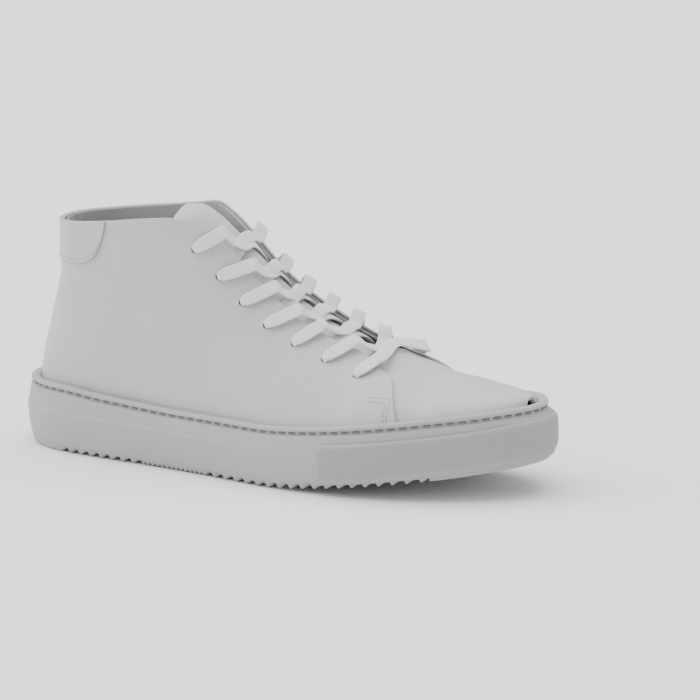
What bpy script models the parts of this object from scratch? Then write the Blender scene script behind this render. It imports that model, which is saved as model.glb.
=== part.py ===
"""A plain leather high top, right foot, as an assembly of separate sub-parts.

Lengths in this file are millimetres until they reach the mesh, which is in metres.
+X runs from the heel to the toe, +Z up, and -Y is the outer (lateral) side of the foot.
The plan of the sole is one closed curve. The upper is a family of arched sections that
rise from that curve to a ridge, and every layer of the upper is that surface moved inwards.
"""

import math

import bmesh
import bpy
import numpy as np
from mathutils import Matrix, Vector

MM = 0.001

# The sole's widest outline, from the back of the heel round the lateral side.
SOLE_OUTLINE = [
    (0, 0), (4, -16), (18, -30), (45, -38), (80, -41), (120, -45), (160, -51.5), (195, -54),
    (228, -49.5), (258, -38), (283, -21), (297, -3), (300, 10), (294.2, 26), (283, 37.8),
    (262, 47), (232, 52), (200, 52), (165, 46), (125, 39), (85, 37), (45, 36), (18, 29), (4, 15),
]
# Toe spring: the tread leaves the ground here and rises this much by the toe tip.
SPRING_START = 165.0
SPRING_RISE = 17.0
SPRING_RUN = 135.0
SPRING_POWER = 1.28
# The toe end of the wall leans back: how far at the lip, from which x, between which heights.
TOE_LEAN = 3.2
TOE_LEAN_FROM = 268.0
TOE_LEAN_RISE = (8.0, 34.0)
# Cup sole: (distance outside the widest outline, height above the tread).
CUP_WALL = [
    (-3.6, 0.0), (-2.2, 3.0), (-0.9, 9.0), (-0.2, 16.0), (0.0, 20.5), (-1.0, 25.0), (-2.0, 27.2),
    (-3.1, 27.5), (-3.1, 29.3), (-2.2, 29.7), (-2.7, 31.0), (-4.2, 31.6), (-6.9, 31.0), (-6.9, 9.0),
]
CUP_BED = 9.0
# The lip is higher than in the section above by this much along the shoe.
LIP_FOOT = 26.0
LIP_RISE = [(0, 4.0), (34, 4.0), (59, 2.4), (85, 0.9), (112, 0.0), (180, 0.4), (255, 0.4), (285, -0.8), (300, -2.2)]
THREAD_OUT = -2.4
THREAD_HEIGHT = 28.4
THREAD_RADIUS = 0.42
# Layers inside the cup: distance outside the outline, lower and upper height.
FILLER = (-8.2, CUP_BED + 0.4, 20.8)
BOARD = (-13.6, 21.2, 22.4)
FOOTBED = (-15.0, 22.8, 25.8)
# Toe bumper: start on each side, height range above the tread, thickness.
BUMPER_START = 200.0
BUMPER_TOP = 23.3
BUMPER_THICK = 1.1
BUMPER_GAP = 0.35

# Upper: plan inset from the widest outline, and the height above the tread where it starts.
UPPER_INSET = -7.5
UPPER_FOOT = 22.0
# Height of the ridge of the arched sections; behind the throat it is far above the shoe.
RIDGE = [
    (0, 640), (65, 612), (112, 177), (140, 115.5), (172, 89.5), (208, 70.5), (228, 63.2),
    (246, 56.9), (262, 53.8), (276, 51.8), (286, 50.2), (292, 48.0),
]
# The ridge's place across the shoe.
RIDGE_Y = [(0, 0), (60, -1), (112, -3), (160, 0.5), (208, 4), (250, 6), (293, 9.5)]
# Exponent of the section's super-ellipse.
FULLNESS = [(0, 1.6), (205, 1.6), (250, 2.1), (300, 2.1)]
# The heel leans forward by this much between these heights.
LEAN = 14.7
LEAN_LOW = 31.0
LEAN_HIGH = 104.0

# Top line of the quarters seen from the side: collar, top corner, facing, end of the facing.
LATERAL_TOP = [
    (15, 119.3), (30, 119.8), (45, 121.4), (65, 124), (83, 126.7), (100, 128.2), (108.6, 127.6),
    (115.6, 125), (120.4, 122.2), (128.5, 114.7), (134.5, 108.6), (142, 101), (155, 90.7),
    (169, 81.3), (190, 72), (205, 66.6), (214, 62.4), (219, 60), (225, 57), (229, 52.5),
    (233, 46), (237, 38.5), (240, 32.5),
]
MEDIAL_TOP = [
    (15, 119.3), (30, 119.8), (45, 121.4), (65, 124), (83, 126.7), (98, 129.2), (110, 125.8),
    (123, 118.7), (136, 109.5), (148, 98), (166, 85.5), (183.5, 76.9), (201, 70.8), (213, 66.8),
    (221, 63.2), (227, 59), (232, 52.5), (237, 43), (241, 34.5), (243, 31.5),
]
EYELETS = [
    (113.5, 113.0), (127.0, 100.0), (140.5, 88.0), (155.2, 78.0), (171.8, 70.4), (189.3, 63.9),
    (207.8, 57.7),
]
# The medial eyelets sit this far further along the throat; the last one is level with its facing.
MEDIAL_SHIFT = (6.0, -3.6)
MEDIAL_LAST_SHIFT = (2.6, 0.6)
EYELET_RADIUS = 2.2
TAB_EDGE = [(12, 99), (42, 99.2), (49, 100.4), (54.5, 103.6), (58.6, 109.1), (61.2, 116.7), (63.4, 123.6)]

# Depths of the layers below the outer surface: (outer face, inner face).
QUARTER = (0.0, 1.2)
MIDDLE = (1.65, 2.3)
LINING = (2.65, 3.3)
VAMP = (1.65, 2.75)
PUFF = (3.1, 3.7)
VAMP_LINING = (4.0, 4.6)
TAB = (-1.3, -0.35)

# Tongue: its centre line (the outer face), half width, arch radius.
TONGUE_LINE = [
    (224, 55.2), (208, 61.2), (190, 70.0), (172, 79.5), (155, 91.2), (140, 105.0), (125, 118.6),
    (112, 128.2), (102, 132.0), (94, 131.2),
]
# The tongue's half width and its drop at half width, as shares of the upper's half width.
TONGUE_EDGE = [
    (94, 0.52), (112, 0.50), (125, 0.48), (140, 0.48), (160, 0.45), (172, 0.415), (190, 0.43),
    (208, 0.45), (224, 0.44),
]
TONGUE_DROP = [
    (94, 7), (102, 10), (112, 16), (125, 21), (140, 24), (155, 19.5), (172, 14), (208, 9), (224, 7.5),
]
# The rounding of the tongue's two top corners: its length, and its depth as a share.
TONGUE_CORNER = (5.0, 0.13)
TONGUE_LAYERS = {"tongue": (0.0, 1.2), "tongue_padding": (1.8, 4.3), "tongue_lining": (5.4, 6.1)}
HINGE = (224.0, 55.0)

LACE_WIDTH = 7.2
LACE_THICK = 1.3
LACE_BUNCHED = 2.5
# Where a strand leaves one facing and lands on the other, as shares of its way along the shoe.
EDGE_SHARES = (0.22, 0.78)
# Each tucked tail: (distance along it, width, thickness, depth behind the outer surface).
TAIL = [(4, 5.0, 1.4, 5.0), (14, 6.0, 1.3, 5.6), (30, 6.0, 1.3, 6.6), (46, 2.4, 2.4, 8.5)]
AGLET_LENGTH = 20.0
AGLET_RADIUS = 1.7


def closed_spline(points, count):
    """Points along the closed cubic spline through the given points."""
    p = np.array(points, float)
    n = len(p)
    gap = np.linalg.norm(np.roll(p, -1, 0) - p, axis=1)
    a = np.zeros((n, n))
    b = np.zeros((n, p.shape[1]))
    for i in range(n):
        before = gap[i - 1]
        after = gap[i]
        a[i, (i - 1) % n] += before
        a[i, i] += 2 * (before + after)
        a[i, (i + 1) % n] += after
        b[i] = 6 * ((p[(i + 1) % n] - p[i]) / after - (p[i] - p[i - 1]) / before)
    bend = np.linalg.solve(a, b)
    start = np.r_[0, np.cumsum(gap)]
    at = np.linspace(0, start[-1], count, endpoint=False)
    k = np.clip(np.searchsorted(start, at, side="right") - 1, 0, n - 1)
    u = ((at - start[k]) / gap[k])[:, None]
    v = 1 - u
    j = (k + 1) % n
    h = gap[k][:, None]
    return v * p[k] + u * p[j] + ((v**3 - v) * bend[k] + (u**3 - u) * bend[j]) * h**2 / 6


def curve(points, at):
    """A smooth curve through points with growing x, without overshoot."""
    x = np.array([p[0] for p in points], float)
    y = np.array([p[1] for p in points], float)
    step = np.diff(x)
    slope = np.diff(y) / step
    tangent = np.zeros(len(x))
    same = slope[:-1] * slope[1:] > 0
    w1 = 2 * step[1:] + step[:-1]
    w2 = step[1:] + 2 * step[:-1]
    safe = np.where(same, slope[:-1], 1.0)
    safe_next = np.where(same, slope[1:], 1.0)
    tangent[1:-1] = np.where(same, (w1 + w2) / (w1 / safe + w2 / safe_next), 0.0)
    tangent[0] = slope[0]
    tangent[-1] = slope[-1]
    at = np.clip(np.asarray(at, float), x[0], x[-1])
    k = np.clip(np.searchsorted(x, at, side="right") - 1, 0, len(x) - 2)
    h = step[k]
    t = (at - x[k]) / h
    return (
        y[k] * (1 + 2 * t) * (1 - t) ** 2
        + tangent[k] * h * t * (1 - t) ** 2
        + y[k + 1] * t**2 * (3 - 2 * t)
        + tangent[k + 1] * h * t**2 * (t - 1)
    )


def smooth(low, high, at):
    t = np.clip((np.asarray(at, float) - low) / (high - low), 0, 1)
    return t * t * (3 - 2 * t)


def tread(x):
    """Height of the tread above the ground."""
    run = np.clip(np.asarray(x, float) - SPRING_START, 0, None) / SPRING_RUN
    return SPRING_RISE * run**SPRING_POWER


DENSE = closed_spline(SOLE_OUTLINE, 1440)


def offset_outline(distance):
    """The dense outline moved outwards by a distance."""
    along = np.roll(DENSE, -1, 0) - np.roll(DENSE, 1, 0)
    along /= np.linalg.norm(along, axis=1)[:, None]
    return DENSE + distance * np.stack([along[:, 1], -along[:, 0]], 1)


PROUD = offset_outline(BUMPER_GAP + BUMPER_THICK)
EXTENT = np.vstack([DENSE, PROUD[PROUD[:, 0] > BUMPER_START]])
CENTRE = (EXTENT.min(0) + EXTENT.max(0)) / 2


def half_outline(distance, side):
    """One half of the outline, heel to toe tip; side is -1 lateral or +1 medial."""
    line = offset_outline(distance)
    heel = int(line[:, 0].argmin())
    toe = int(line[:, 0].argmax())
    line = np.roll(line, -heel, 0)
    toe = (toe - heel) % len(line)
    if side < 0:
        return line[: toe + 1]
    return np.vstack([line[:1], line[toe:][::-1]])


def spread(line, count):
    """Points at equal lengths along a line."""
    length = np.r_[0, np.cumsum(np.linalg.norm(np.diff(line, axis=0), axis=1))]
    at = np.linspace(0, length[-1], count)
    return np.stack([np.interp(at, length, line[:, k]) for k in range(line.shape[1])], 1)


def ring(distance, height, half_count):
    """A closed ring round the sole; lateral point i faces medial point -i."""
    lateral = spread(half_outline(distance, -1), half_count + 1)
    medial = spread(half_outline(distance, 1), half_count + 1)
    line = np.vstack([lateral, medial[1:-1][::-1]])
    up = tread(line[:, 0]) + height
    line[:, 0] -= toe_lean(line[:, 0], height)
    return np.column_stack([line, up])


def to_world(points):
    """Millimetres on the drawing to metres about the middle of the sole's footprint."""
    p = np.asarray(points, float)
    return (p - [CENTRE[0], CENTRE[1], 0.0]) * MM


def ridge_height(x):
    foot = tread(x) + UPPER_FOOT
    points = [(a, math.log(b - float(tread(a)) - UPPER_FOOT)) for a, b in RIDGE]
    return foot, np.exp(curve(points, x))


def toe_lean(x, up):
    """How far the sole's wall leans back at a height above the tread."""
    return TOE_LEAN * smooth(TOE_LEAN_FROM, 300, x) * smooth(*TOE_LEAN_RISE, up)


def upper_outline(side):
    """One half of the upper's plan outline, which keeps inside the leaning lip."""
    line = half_outline(UPPER_INSET, side)
    line[:, 0] -= TOE_LEAN * smooth(TOE_LEAN_FROM, 300, line[:, 0])
    return line


def base_width(x, side):
    """The y of the upper's plan outline at x."""
    line = upper_outline(side)
    return np.interp(x, line[:, 0], line[:, 1])


def lean(x, z):
    """How far the heel leans forward at base position x and height z."""
    fade = np.clip(1 - (np.asarray(x, float) - 5.5) / 100, 0, 1) ** 1.5
    return LEAN * smooth(LEAN_LOW, LEAN_HIGH, z) * fade


def on_upper(x, y, z):
    """The outer surface above base point (x, y) of the plan outline, at height z."""
    foot, height = ridge_height(x)
    power = np.interp(x, *zip(*FULLNESS))
    middle = curve(RIDGE_Y, x)
    rise = np.clip((z - foot) / height, 0, 1)
    narrow = (1 - rise**power) ** (1 / power)
    return np.stack([x + lean(x, z), middle + (y - middle) * narrow, z], -1)


def normals(grid):
    """Unit normals of a grid of points, towards the left of (columns x rows)."""
    a = np.gradient(grid, axis=0)
    b = np.gradient(grid, axis=1)
    n = np.cross(a, b)
    return n / np.maximum(np.linalg.norm(n, axis=2), 1e-9)[..., None]


def material(name, colour, roughness, metallic=0.0):
    m = bpy.data.materials.new(name)
    m.use_nodes = True
    shader = m.node_tree.nodes["Principled BSDF"]
    shader.inputs["Base Color"].default_value = (*colour, 1.0)
    shader.inputs["Roughness"].default_value = roughness
    shader.inputs["Metallic"].default_value = metallic
    return m


def clear_scene():
    for o in list(bpy.data.objects):
        bpy.data.objects.remove(o, do_unlink=True)


def collection(name):
    c = bpy.data.collections.new(name)
    bpy.context.scene.collection.children.link(c)
    return c


clear_scene()
SHOE = collection("basketball_high_top")
CUTTERS = collection("cutters")
LEATHER = (0.80, 0.80, 0.79)
RUBBER = (0.72, 0.72, 0.71)
TEXTILE = (0.86, 0.86, 0.86)
GREY = (0.60, 0.60, 0.59)
FOAM = (0.70, 0.69, 0.66)


def add(name, points, faces, colour, roughness=0.6, home=None):
    """A mesh object from millimetre points."""
    mesh = bpy.data.meshes.new(name)
    mesh.from_pydata([tuple(p) for p in to_world(points)], [], faces)
    bm = bmesh.new()
    bm.from_mesh(mesh)
    bmesh.ops.recalc_face_normals(bm, faces=bm.faces)
    bm.to_mesh(mesh)
    bm.free()
    mesh.shade_smooth()
    mesh.set_sharp_from_angle(angle=math.radians(40))
    o = bpy.data.objects.new(name, mesh)
    mesh.materials.append(material(name, colour, roughness))
    (home or SHOE).objects.link(o)
    return o


def layer(name, grid, faces_of, colour, roughness=0.6):
    """A closed sheet between a grid's two faces: faces_of is (outer, inner) depth below the grid."""
    n = normals(grid)
    outer = grid - n * faces_of[0]
    inner = grid - n * faces_of[1]
    rows, cols = grid.shape[:2]
    points = np.vstack([outer.reshape(-1, 3), inner.reshape(-1, 3)])
    under = rows * cols
    faces = []
    for i in range(rows - 1):
        for j in range(cols - 1):
            a, b = i * cols + j, (i + 1) * cols + j
            faces.append((a, b, b + 1, a + 1))
            faces.append((a + under + 1, b + under + 1, b + under, a + under))
    rim = [i * cols for i in range(rows)]
    rim += [(rows - 1) * cols + j for j in range(1, cols)]
    rim += [i * cols + cols - 1 for i in range(rows - 2, -1, -1)]
    rim += [j for j in range(cols - 2, 0, -1)]
    for a, b in zip(rim, rim[1:] + rim[:1]):
        faces.append((b, a, a + under, b + under))
    return add(name, points, faces, colour, roughness)


def strip(loop, count, up):
    """Faces across a ring made by ring(), lateral to medial."""
    half = count // 2
    faces = []
    for i in range(half):
        a = loop + i
        b = loop + i + 1
        c = loop + (count - i - 1) % count
        d = loop + (count - i) % count
        corners = [v for k, v in enumerate((a, b, c, d)) if v not in (a, b, c, d)[:k]]
        faces.append(tuple(corners if up else corners[::-1]))
    return faces


def stack(name, rings, colour, roughness=0.6):
    """A solid through rings, closed by strips at the first and the last."""
    count = len(rings[0])
    points = np.vstack(rings)
    faces = strip(0, count, False)
    for k in range(len(rings) - 1):
        for i in range(count):
            j = (i + 1) % count
            faces.append((k * count + i, k * count + j, (k + 1) * count + j, (k + 1) * count + i))
    faces += strip((len(rings) - 1) * count, count, True)
    return add(name, points, faces, colour, roughness)


SOLE_HALF = 30


def cupsole():
    rings = []
    for out, up in CUP_WALL:
        r = ring(out, up, SOLE_HALF)
        if up > LIP_FOOT:
            r[:, 2] += curve(LIP_RISE, r[:, 0])
        rings.append(r)
    return stack("cupsole", rings, RUBBER, 0.55)


def sidewall_stitch():
    r = ring(THREAD_OUT, THREAD_HEIGHT, SOLE_HALF)
    r[:, 2] += curve(LIP_RISE, r[:, 0])
    data = bpy.data.curves.new("sidewall_stitch", "CURVE")
    data.dimensions = "3D"
    line = data.splines.new("POLY")
    line.points.add(len(r) - 1)
    for point, place in zip(line.points, to_world(r)):
        point.co = (*place, 1.0)
    line.use_cyclic_u = True
    data.bevel_depth = THREAD_RADIUS * MM
    data.bevel_resolution = 0
    data.materials.append(material("sidewall_stitch", TEXTILE, 0.8))
    o = bpy.data.objects.new("sidewall_stitch", data)
    SHOE.objects.link(o)
    return o


def cut_at_start(row, keep):
    """The columns of a ring to keep, with one more at each end on BUMPER_START itself."""
    out = [row[k] for k in keep]
    for end, step, place in ((keep[0], -1, 0), (keep[-1], 1, len(keep) + 1)):
        inner, outer = row[end], row[end + step]
        share = (inner[0] - BUMPER_START) / (inner[0] - outer[0])
        out.insert(place, inner + (outer - inner) * share)
    return out


def toe_bumper():
    """A skin over the front of the sidewall, from the tread to below the stitching."""
    wall = [(o, z) for o, z in CUP_WALL if 2.9 < z < BUMPER_TOP and o > -3]
    heights = np.array([z for _, z in wall] + [BUMPER_TOP])
    outs = np.array([o for o, _ in wall] + [-0.6])
    rings = [ring(out, up, SOLE_HALF) for out, up in zip(outs, heights)]
    keep = np.flatnonzero(rings[0][:, 0] > BUMPER_START)
    grid = np.array([cut_at_start(row, keep) for row in rings])
    return sheet("toe_bumper", grid.transpose(1, 0, 2), (-BUMPER_GAP - BUMPER_THICK, -BUMPER_GAP), RUBBER)


def slab(name, distance, low, high, colour, count=30):
    return stack(name, [ring(distance, low, count), ring(distance, high, count)], colour, 0.8)


def outward(grid):
    """Normals of a grid of points that face away from the inside of the shoe."""
    n = normals(grid)
    inside = np.array([grid[..., 0].mean(), 4.0, 45.0])
    return n if (n * (grid - inside)).sum() > 0 else -n


def quarter_line(side, stop):
    """Base points from the centre back seam to x = stop, closer together at the front."""
    line = half_outline(UPPER_INSET, side)
    length = np.r_[0, np.cumsum(np.linalg.norm(np.diff(line, axis=0), axis=1))]
    ends = [np.interp(x, line[:, 0], length) for x in (100.0, min(stop, 212.0), stop)]
    at = np.r_[np.linspace(0.9, ends[0], 15)[:-1], np.linspace(ends[0], ends[1], 15)]
    if stop > 212.0:
        at = np.r_[at[:-1], np.linspace(ends[1], ends[2], 8)]
    return np.stack([np.interp(at, length, line[:, k]) for k in range(2)], 1)


def column(base, low, high, rows):
    """Points up the surface above a base point, closer together near the top, where it curves."""
    t = np.linspace(0, 1, rows)
    z = low + (high - low) * t * (1.5 - 0.5 * t)
    return on_upper(np.full(rows, base[0]), np.full(rows, base[1]), z)


def top_of(base, top):
    """Height of a side-view line above a base point, which the heel's lean moves forward."""
    high = 100.0
    for _ in range(12):
        high = float(curve(top, base[0] + lean(base[0], high)))
    return high


def wall(side, top, stop, rows, drop=0.0):
    """The grid of one quarter, centre back seam to front edge, foot to top line."""
    grid = []
    for base in quarter_line(side, stop):
        low = float(tread(base[0])) + UPPER_FOOT
        grid.append(column(base, low, max(top_of(base, top) - drop, low + 1.5), rows))
    return np.array(grid)


def sheet(name, grid, depths, colour, roughness=0.6):
    """A layer that lies between two depths below the outer surface."""
    n = outward(grid)
    if (n * normals(grid)).sum() > 0:
        return layer(name, grid, depths, colour, roughness)
    return layer(name, grid[::-1], depths, colour, roughness)


def eyestay_grid(side, top):
    grid = []
    for x in np.linspace(104, 211, 17):
        base = (x, float(base_width(x, side)))
        high = float(curve(top, x)) - 1.2
        grid.append(column(base, high - 23, high, 5))
    return np.array(grid)


def around_heel(reach, count):
    """Base points from x = reach on the lateral side, round the heel, to the medial side."""
    halves = []
    for side in (-1, 1):
        line = half_outline(UPPER_INSET, side)
        halves.append(line[line[:, 0] <= reach])
    return spread(np.vstack([halves[0][::-1], halves[1][1:]]), count)


def heel_counter():
    grid = []
    for base in around_heel(74, 23):
        low = float(tread(base[0])) + UPPER_FOOT
        grid.append(column(base, low, 66 - 18 * smooth(15, 74, base[0]), 6))
    sheet("heel_counter", np.array(grid), MIDDLE, FOAM, 0.7)


def heel_tab():
    """The patch over the centre back seam, under the collar edge."""
    grid = []
    for base in around_heel(63.5 - LEAN * 0.4, 23):
        high = 118.0
        low = 99.0
        for _ in range(12):
            high = float(curve(LATERAL_TOP, base[0] + lean(base[0], high)))
            low = float(curve(TAB_EDGE, base[0] + lean(base[0], low)))
        grid.append(column(base, min(low, high - 1.5), high, 4))
    sheet("heel_tab", np.array(grid), TAB, LEATHER, 0.5)


def vamp_grid(back, side_back, tip, stations, across):
    """Arches from x = back at the ridge (side_back at the feather edge) to the toe."""
    grid = []
    for w in np.linspace(0, 1, stations):
        row = []
        for a in np.linspace(-1, 1, across):
            edge = back + (side_back - back) * a * a
            x = edge + (tip - edge) * (1 - (1 - w) ** 1.6)
            foot, height = ridge_height(x)
            power = float(np.interp(x, *zip(*FULLNESS)))
            reach = abs(math.sin(a * math.pi / 2)) ** (2 / power)
            rise = max(math.cos(a * math.pi / 2), 0.0) ** (2 / power)
            middle = float(curve(RIDGE_Y, x))
            y = middle + (float(base_width(x, 1 if a > 0 else -1)) - middle) * reach
            row.append((x, y, float(foot) + float(height) * rise))
        grid.append(row)
    return np.array(grid)


def toe_tip():
    return float(upper_outline(-1)[:, 0].max())


def tongue_point(x, share):
    """A point of the tongue's outer face; share is its place across, -1 to 1 for the upper's width."""
    middle = float(curve(RIDGE_Y, x))
    side = 1 if share > 0 else -1
    width = abs(float(base_width(x, side)) - middle)
    drop = float(curve(TONGUE_DROP, x)) * (abs(share) / 0.5) ** 1.6
    return np.array([x, middle + width * share, float(curve(TONGUE_LINE[::-1], x)) - drop])


def tongue_up(x):
    """The direction square to the tongue's centre line."""
    slope = float(curve(TONGUE_LINE[::-1], x + 0.5) - curve(TONGUE_LINE[::-1], x - 0.5))
    return np.array([-slope, 0.0, 1.0]) / math.hypot(slope, 1.0)


def tongue_grid(back, front, inset, rows, across):
    grid = []
    for x in np.linspace(back, front, rows):
        half = float(curve(TONGUE_EDGE, x)) - inset / 40
        corner = max(back + TONGUE_CORNER[0] - x, 0.0) / TONGUE_CORNER[0]
        half -= TONGUE_CORNER[1] * (1 - math.sqrt(1 - corner * corner))
        grid.append([tongue_point(x, half * v) for v in np.linspace(-1, 1, across)])
    return np.array(grid)


def eyelet(row, side):
    """Centre and outward normal of an eyelet on the outer surface."""
    x, z = EYELETS[row]
    if side > 0:
        shift = MEDIAL_SHIFT if row < len(EYELETS) - 1 else MEDIAL_LAST_SHIFT
        x, z = x + shift[0], z + shift[1]

    def at(dx, dz):
        return on_upper(x + dx, float(base_width(x + dx, side)), z + dz)

    n = np.cross(at(1, 0) - at(-1, 0), at(0, 1) - at(0, -1)) * -side
    n /= np.linalg.norm(n)
    return at(0, 0), n


def eyelet_cutters(side):
    home = bpy.data.collections.new("lateral_holes" if side < 0 else "medial_holes")
    CUTTERS.children.link(home)
    for row in range(len(EYELETS)):
        place, n = eyelet(row, side)
        bm = bmesh.new()
        bmesh.ops.create_cone(
            bm, cap_ends=True, segments=10, radius1=EYELET_RADIUS * MM, radius2=EYELET_RADIUS * MM,
            depth=16 * MM,
        )
        mesh = bpy.data.meshes.new("hole")
        bm.to_mesh(mesh)
        bm.free()
        o = bpy.data.objects.new(f"{home.name}_{row + 1}", mesh)
        o.location = Vector(to_world([place - n * 3])[0])
        o.rotation_euler = Vector(n).to_track_quat("Z", "Y").to_euler()
        o.hide_render = True
        o.display_type = "WIRE"
        home.objects.link(o)
    return home


def punch(o, holes):
    cut = o.modifiers.new("eyelets", "BOOLEAN")
    cut.operation = "DIFFERENCE"
    cut.operand_type = "COLLECTION"
    cut.collection = holes
    cut.solver = "EXACT"


def quarters():
    for side, word, top in ((-1, "lateral", LATERAL_TOP), (1, "medial", MEDIAL_TOP)):
        holes = eyelet_cutters(side)
        outer = sheet(f"{word}_quarter", wall(side, top, 240, 9), QUARTER, LEATHER, 0.5)
        inner = sheet(f"{word}_quarter_lining", wall(side, top, 213, 9, 0.4), LINING, GREY, 0.8)
        stay = sheet(f"{word}_eyestay_reinforcement", eyestay_grid(side, top), MIDDLE, TEXTILE, 0.9)
        for o in (outer, inner, stay):
            punch(o, holes)


def tongue():
    colours = {"tongue": LEATHER, "tongue_padding": FOAM, "tongue_lining": GREY}
    for name, depths in TONGUE_LAYERS.items():
        inset = 3.0 if name == "tongue_padding" else 0.0
        grid = tongue_grid(94 + inset * 4, 224 - inset * 2, inset, 14, 9)
        n = normals(grid)
        grid = grid if n[..., 2].sum() > 0 else grid[::-1]
        o = layer(name, grid, depths, colours[name])
        hinge = Vector(to_world([(HINGE[0], 0, HINGE[1])])[0])
        o.data.transform(Matrix.Translation(-hinge))
        o.location = hinge


def on_wall(x, z, side, height=0.0):
    """A point this far outside the quarter's surface, and the surface's normal there."""

    def at(dx, dz):
        return on_upper(x + dx, float(base_width(x + dx, side)), z + dz)

    n = np.cross(at(1, 0) - at(-1, 0), at(0, 1) - at(0, -1)) * -side
    n /= np.linalg.norm(n)
    return at(0, 0) + n * height, n


def facing_edge(x, side):
    return float(curve(LATERAL_TOP if side < 0 else MEDIAL_TOP, x))


def nearest_edge(row, side):
    """x of the facing edge's point that is nearest to an eyelet."""
    hole, _ = eyelet(row, side)
    tries = np.linspace(hole[0] - 4, hole[0] + 18, 45)
    far = [np.linalg.norm(on_wall(x, facing_edge(x, side), side)[0] - hole) for x in tries]
    return float(tries[int(np.argmin(far))])


def over_tongue(x, y, height):
    """A point this far above the tongue."""
    middle = float(curve(RIDGE_Y, x))
    width = abs(float(base_width(x, 1 if y > middle else -1)) - middle)
    return tongue_point(x, (y - middle) / width) + tongue_up(x) * height


def flat(place, n, d, width=LACE_WIDTH, thick=LACE_THICK):
    """A control point of the lace: place, direction across the ribbon, width, thickness."""
    return place, np.cross(n, d), width, thick


def across(start, end, over):
    """Route between two eyelets, each (row, side): out of the throat, over to the other facing."""
    a, _ = eyelet(*start)
    b, _ = eyelet(*end)
    d = (b - a) / np.linalg.norm(b - a)
    edges = nearest_edge(*start), nearest_edge(*end)
    leave, land = (edges[0] + (edges[1] - edges[0]) * f for f in EDGE_SHARES)
    edge = facing_edge(leave, start[1])
    out = []
    for f, deep, width in ((0.22, 4.9, 5.0), (0.55, 5.0, LACE_WIDTH), (1.0, 5.0, LACE_WIDTH)):
        x, z = a[0] + (leave - a[0]) * f, a[2] + (edge - a[2]) * f
        out.append(flat(*on_wall(x, z, start[1], -deep), d, width))
    low, high = out[-1][0], on_wall(land, facing_edge(land, end[1]), end[1], 3.1)[0]
    for f, height in ((0.3, min(over, 2.6)), (0.5, over), (0.72, over)):
        taut = low + (high - low) * f
        place = over_tongue(taut[0], taut[1], height)
        place[2] = max(place[2], taut[2])
        tilt = np.array([0, (2 * f - 1) * 0.3 * end[1], 0])
        out.append(flat(place, tongue_up(taut[0]) + tilt, d))
    return out + onto_eyelet(land, *end)


def onto_eyelet(land, row, side):
    """Route over the facing's edge to the outside of an eyelet, then through it."""
    hole, n = eyelet(row, side)
    edge = facing_edge(land, side)
    back = on_wall((land + hole[0]) / 2, (edge + hole[2]) / 2, side)[0] - hole
    back /= -np.linalg.norm(back)
    through = np.cross(n, back)
    place, up = on_wall(land, edge, side, 3.2)
    return [
        flat(place - back * 3.4, up, back),
        flat(*on_wall(land, edge, side, 3.1), back),
        flat(*on_wall((land + hole[0]) / 2, (edge + hole[2]) / 2, side, 2.2), back),
        (hole + n * 1.9 - back * 2.2, through, 6.2, 1.5),
        (hole + n * 0.9 + back * 0.1, through, 4.0, 1.9),
        (hole - n * 3.9, through, LACE_BUNCHED, LACE_BUNCHED),
    ]


def lace_chain(side):
    """Control points from the lowest eyelet of one side up to row one, then the tail."""
    route = []
    for row in range(len(EYELETS) - 1, 0, -1):
        route += across((row, side), (row - 1, -side), 4.1 if side < 0 else 2.1)
        side = -side
    return route + tail_route(side)


def tail_route(side):
    """Down inside the quarter, against the lining."""
    last, _ = eyelet(0, side)
    d = np.array([-0.42, 0.0, -0.91])
    out = []
    for along, width, thick, deep in TAIL:
        x, z = last[0] + d[0] * along, last[2] + d[2] * along
        place, n = on_wall(x, z, side)
        out.append(flat(place - np.array([0, side * deep, 0]), n, d, width, thick))
    return out


def lace_bar():
    """The straight stretch over the lowest row, lateral to medial."""
    row = len(EYELETS) - 1
    ends = [onto_eyelet(nearest_edge(row, side), row, side) for side in (-1, 1)]
    x = nearest_edge(row, -1)
    foot, rise = ridge_height(x)
    middle = np.array([x, float(curve(RIDGE_Y, x)), float(foot + rise) + 1.6])
    return ends[0][::-1] + [flat(middle, tongue_up(x), np.array([0, 1.0, 0]))] + ends[1]


def lace_route():
    """The whole lace: lateral tail, seven rows, medial tail."""
    return lace_chain(-1)[::-1] + lace_bar() + lace_chain(1)


def smooth_route(route, step):
    """Points, width directions and sizes along a Catmull-Rom curve through the route."""
    place = np.array([r[0] for r in route])
    size = np.array([(r[2], r[3]) for r in route], float)
    wide = []
    for i, r in enumerate(route):
        along = place[min(i + 1, len(place) - 1)] - place[max(i - 1, 0)]
        across_it = r[1] - along * (r[1] @ along) / (along @ along)
        across_it = across_it / np.linalg.norm(across_it)
        wide.append(across_it if not wide or across_it @ wide[-1] > 0 else -across_it)
    wide = np.array(wide)
    out = []
    padded = np.vstack([2 * place[0] - place[1], place, 2 * place[-1] - place[-2]])
    for i in range(len(place) - 1):
        p0, p1, p2, p3 = padded[i : i + 4]
        gap = np.linalg.norm(p2 - p1)
        m1 = (p2 - p0) * gap / (np.linalg.norm(p1 - p0) + gap)
        m2 = (p3 - p1) * gap / (np.linalg.norm(p3 - p2) + gap)
        for t in np.linspace(0, 1, math.ceil(gap / step) + 1)[:-1]:
            h = (2 * t**3 - 3 * t**2 + 1, t**3 - 2 * t**2 + t, -2 * t**3 + 3 * t**2, t**3 - t**2)
            at = h[0] * p1 + h[1] * m1 + h[2] * p2 + h[3] * m2
            out.append((at, wide[i] * (1 - t) + wide[i + 1] * t, size[i] * (1 - t) + size[i + 1] * t))
    out.append((place[-1], wide[-1], size[-1]))
    return out


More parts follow.
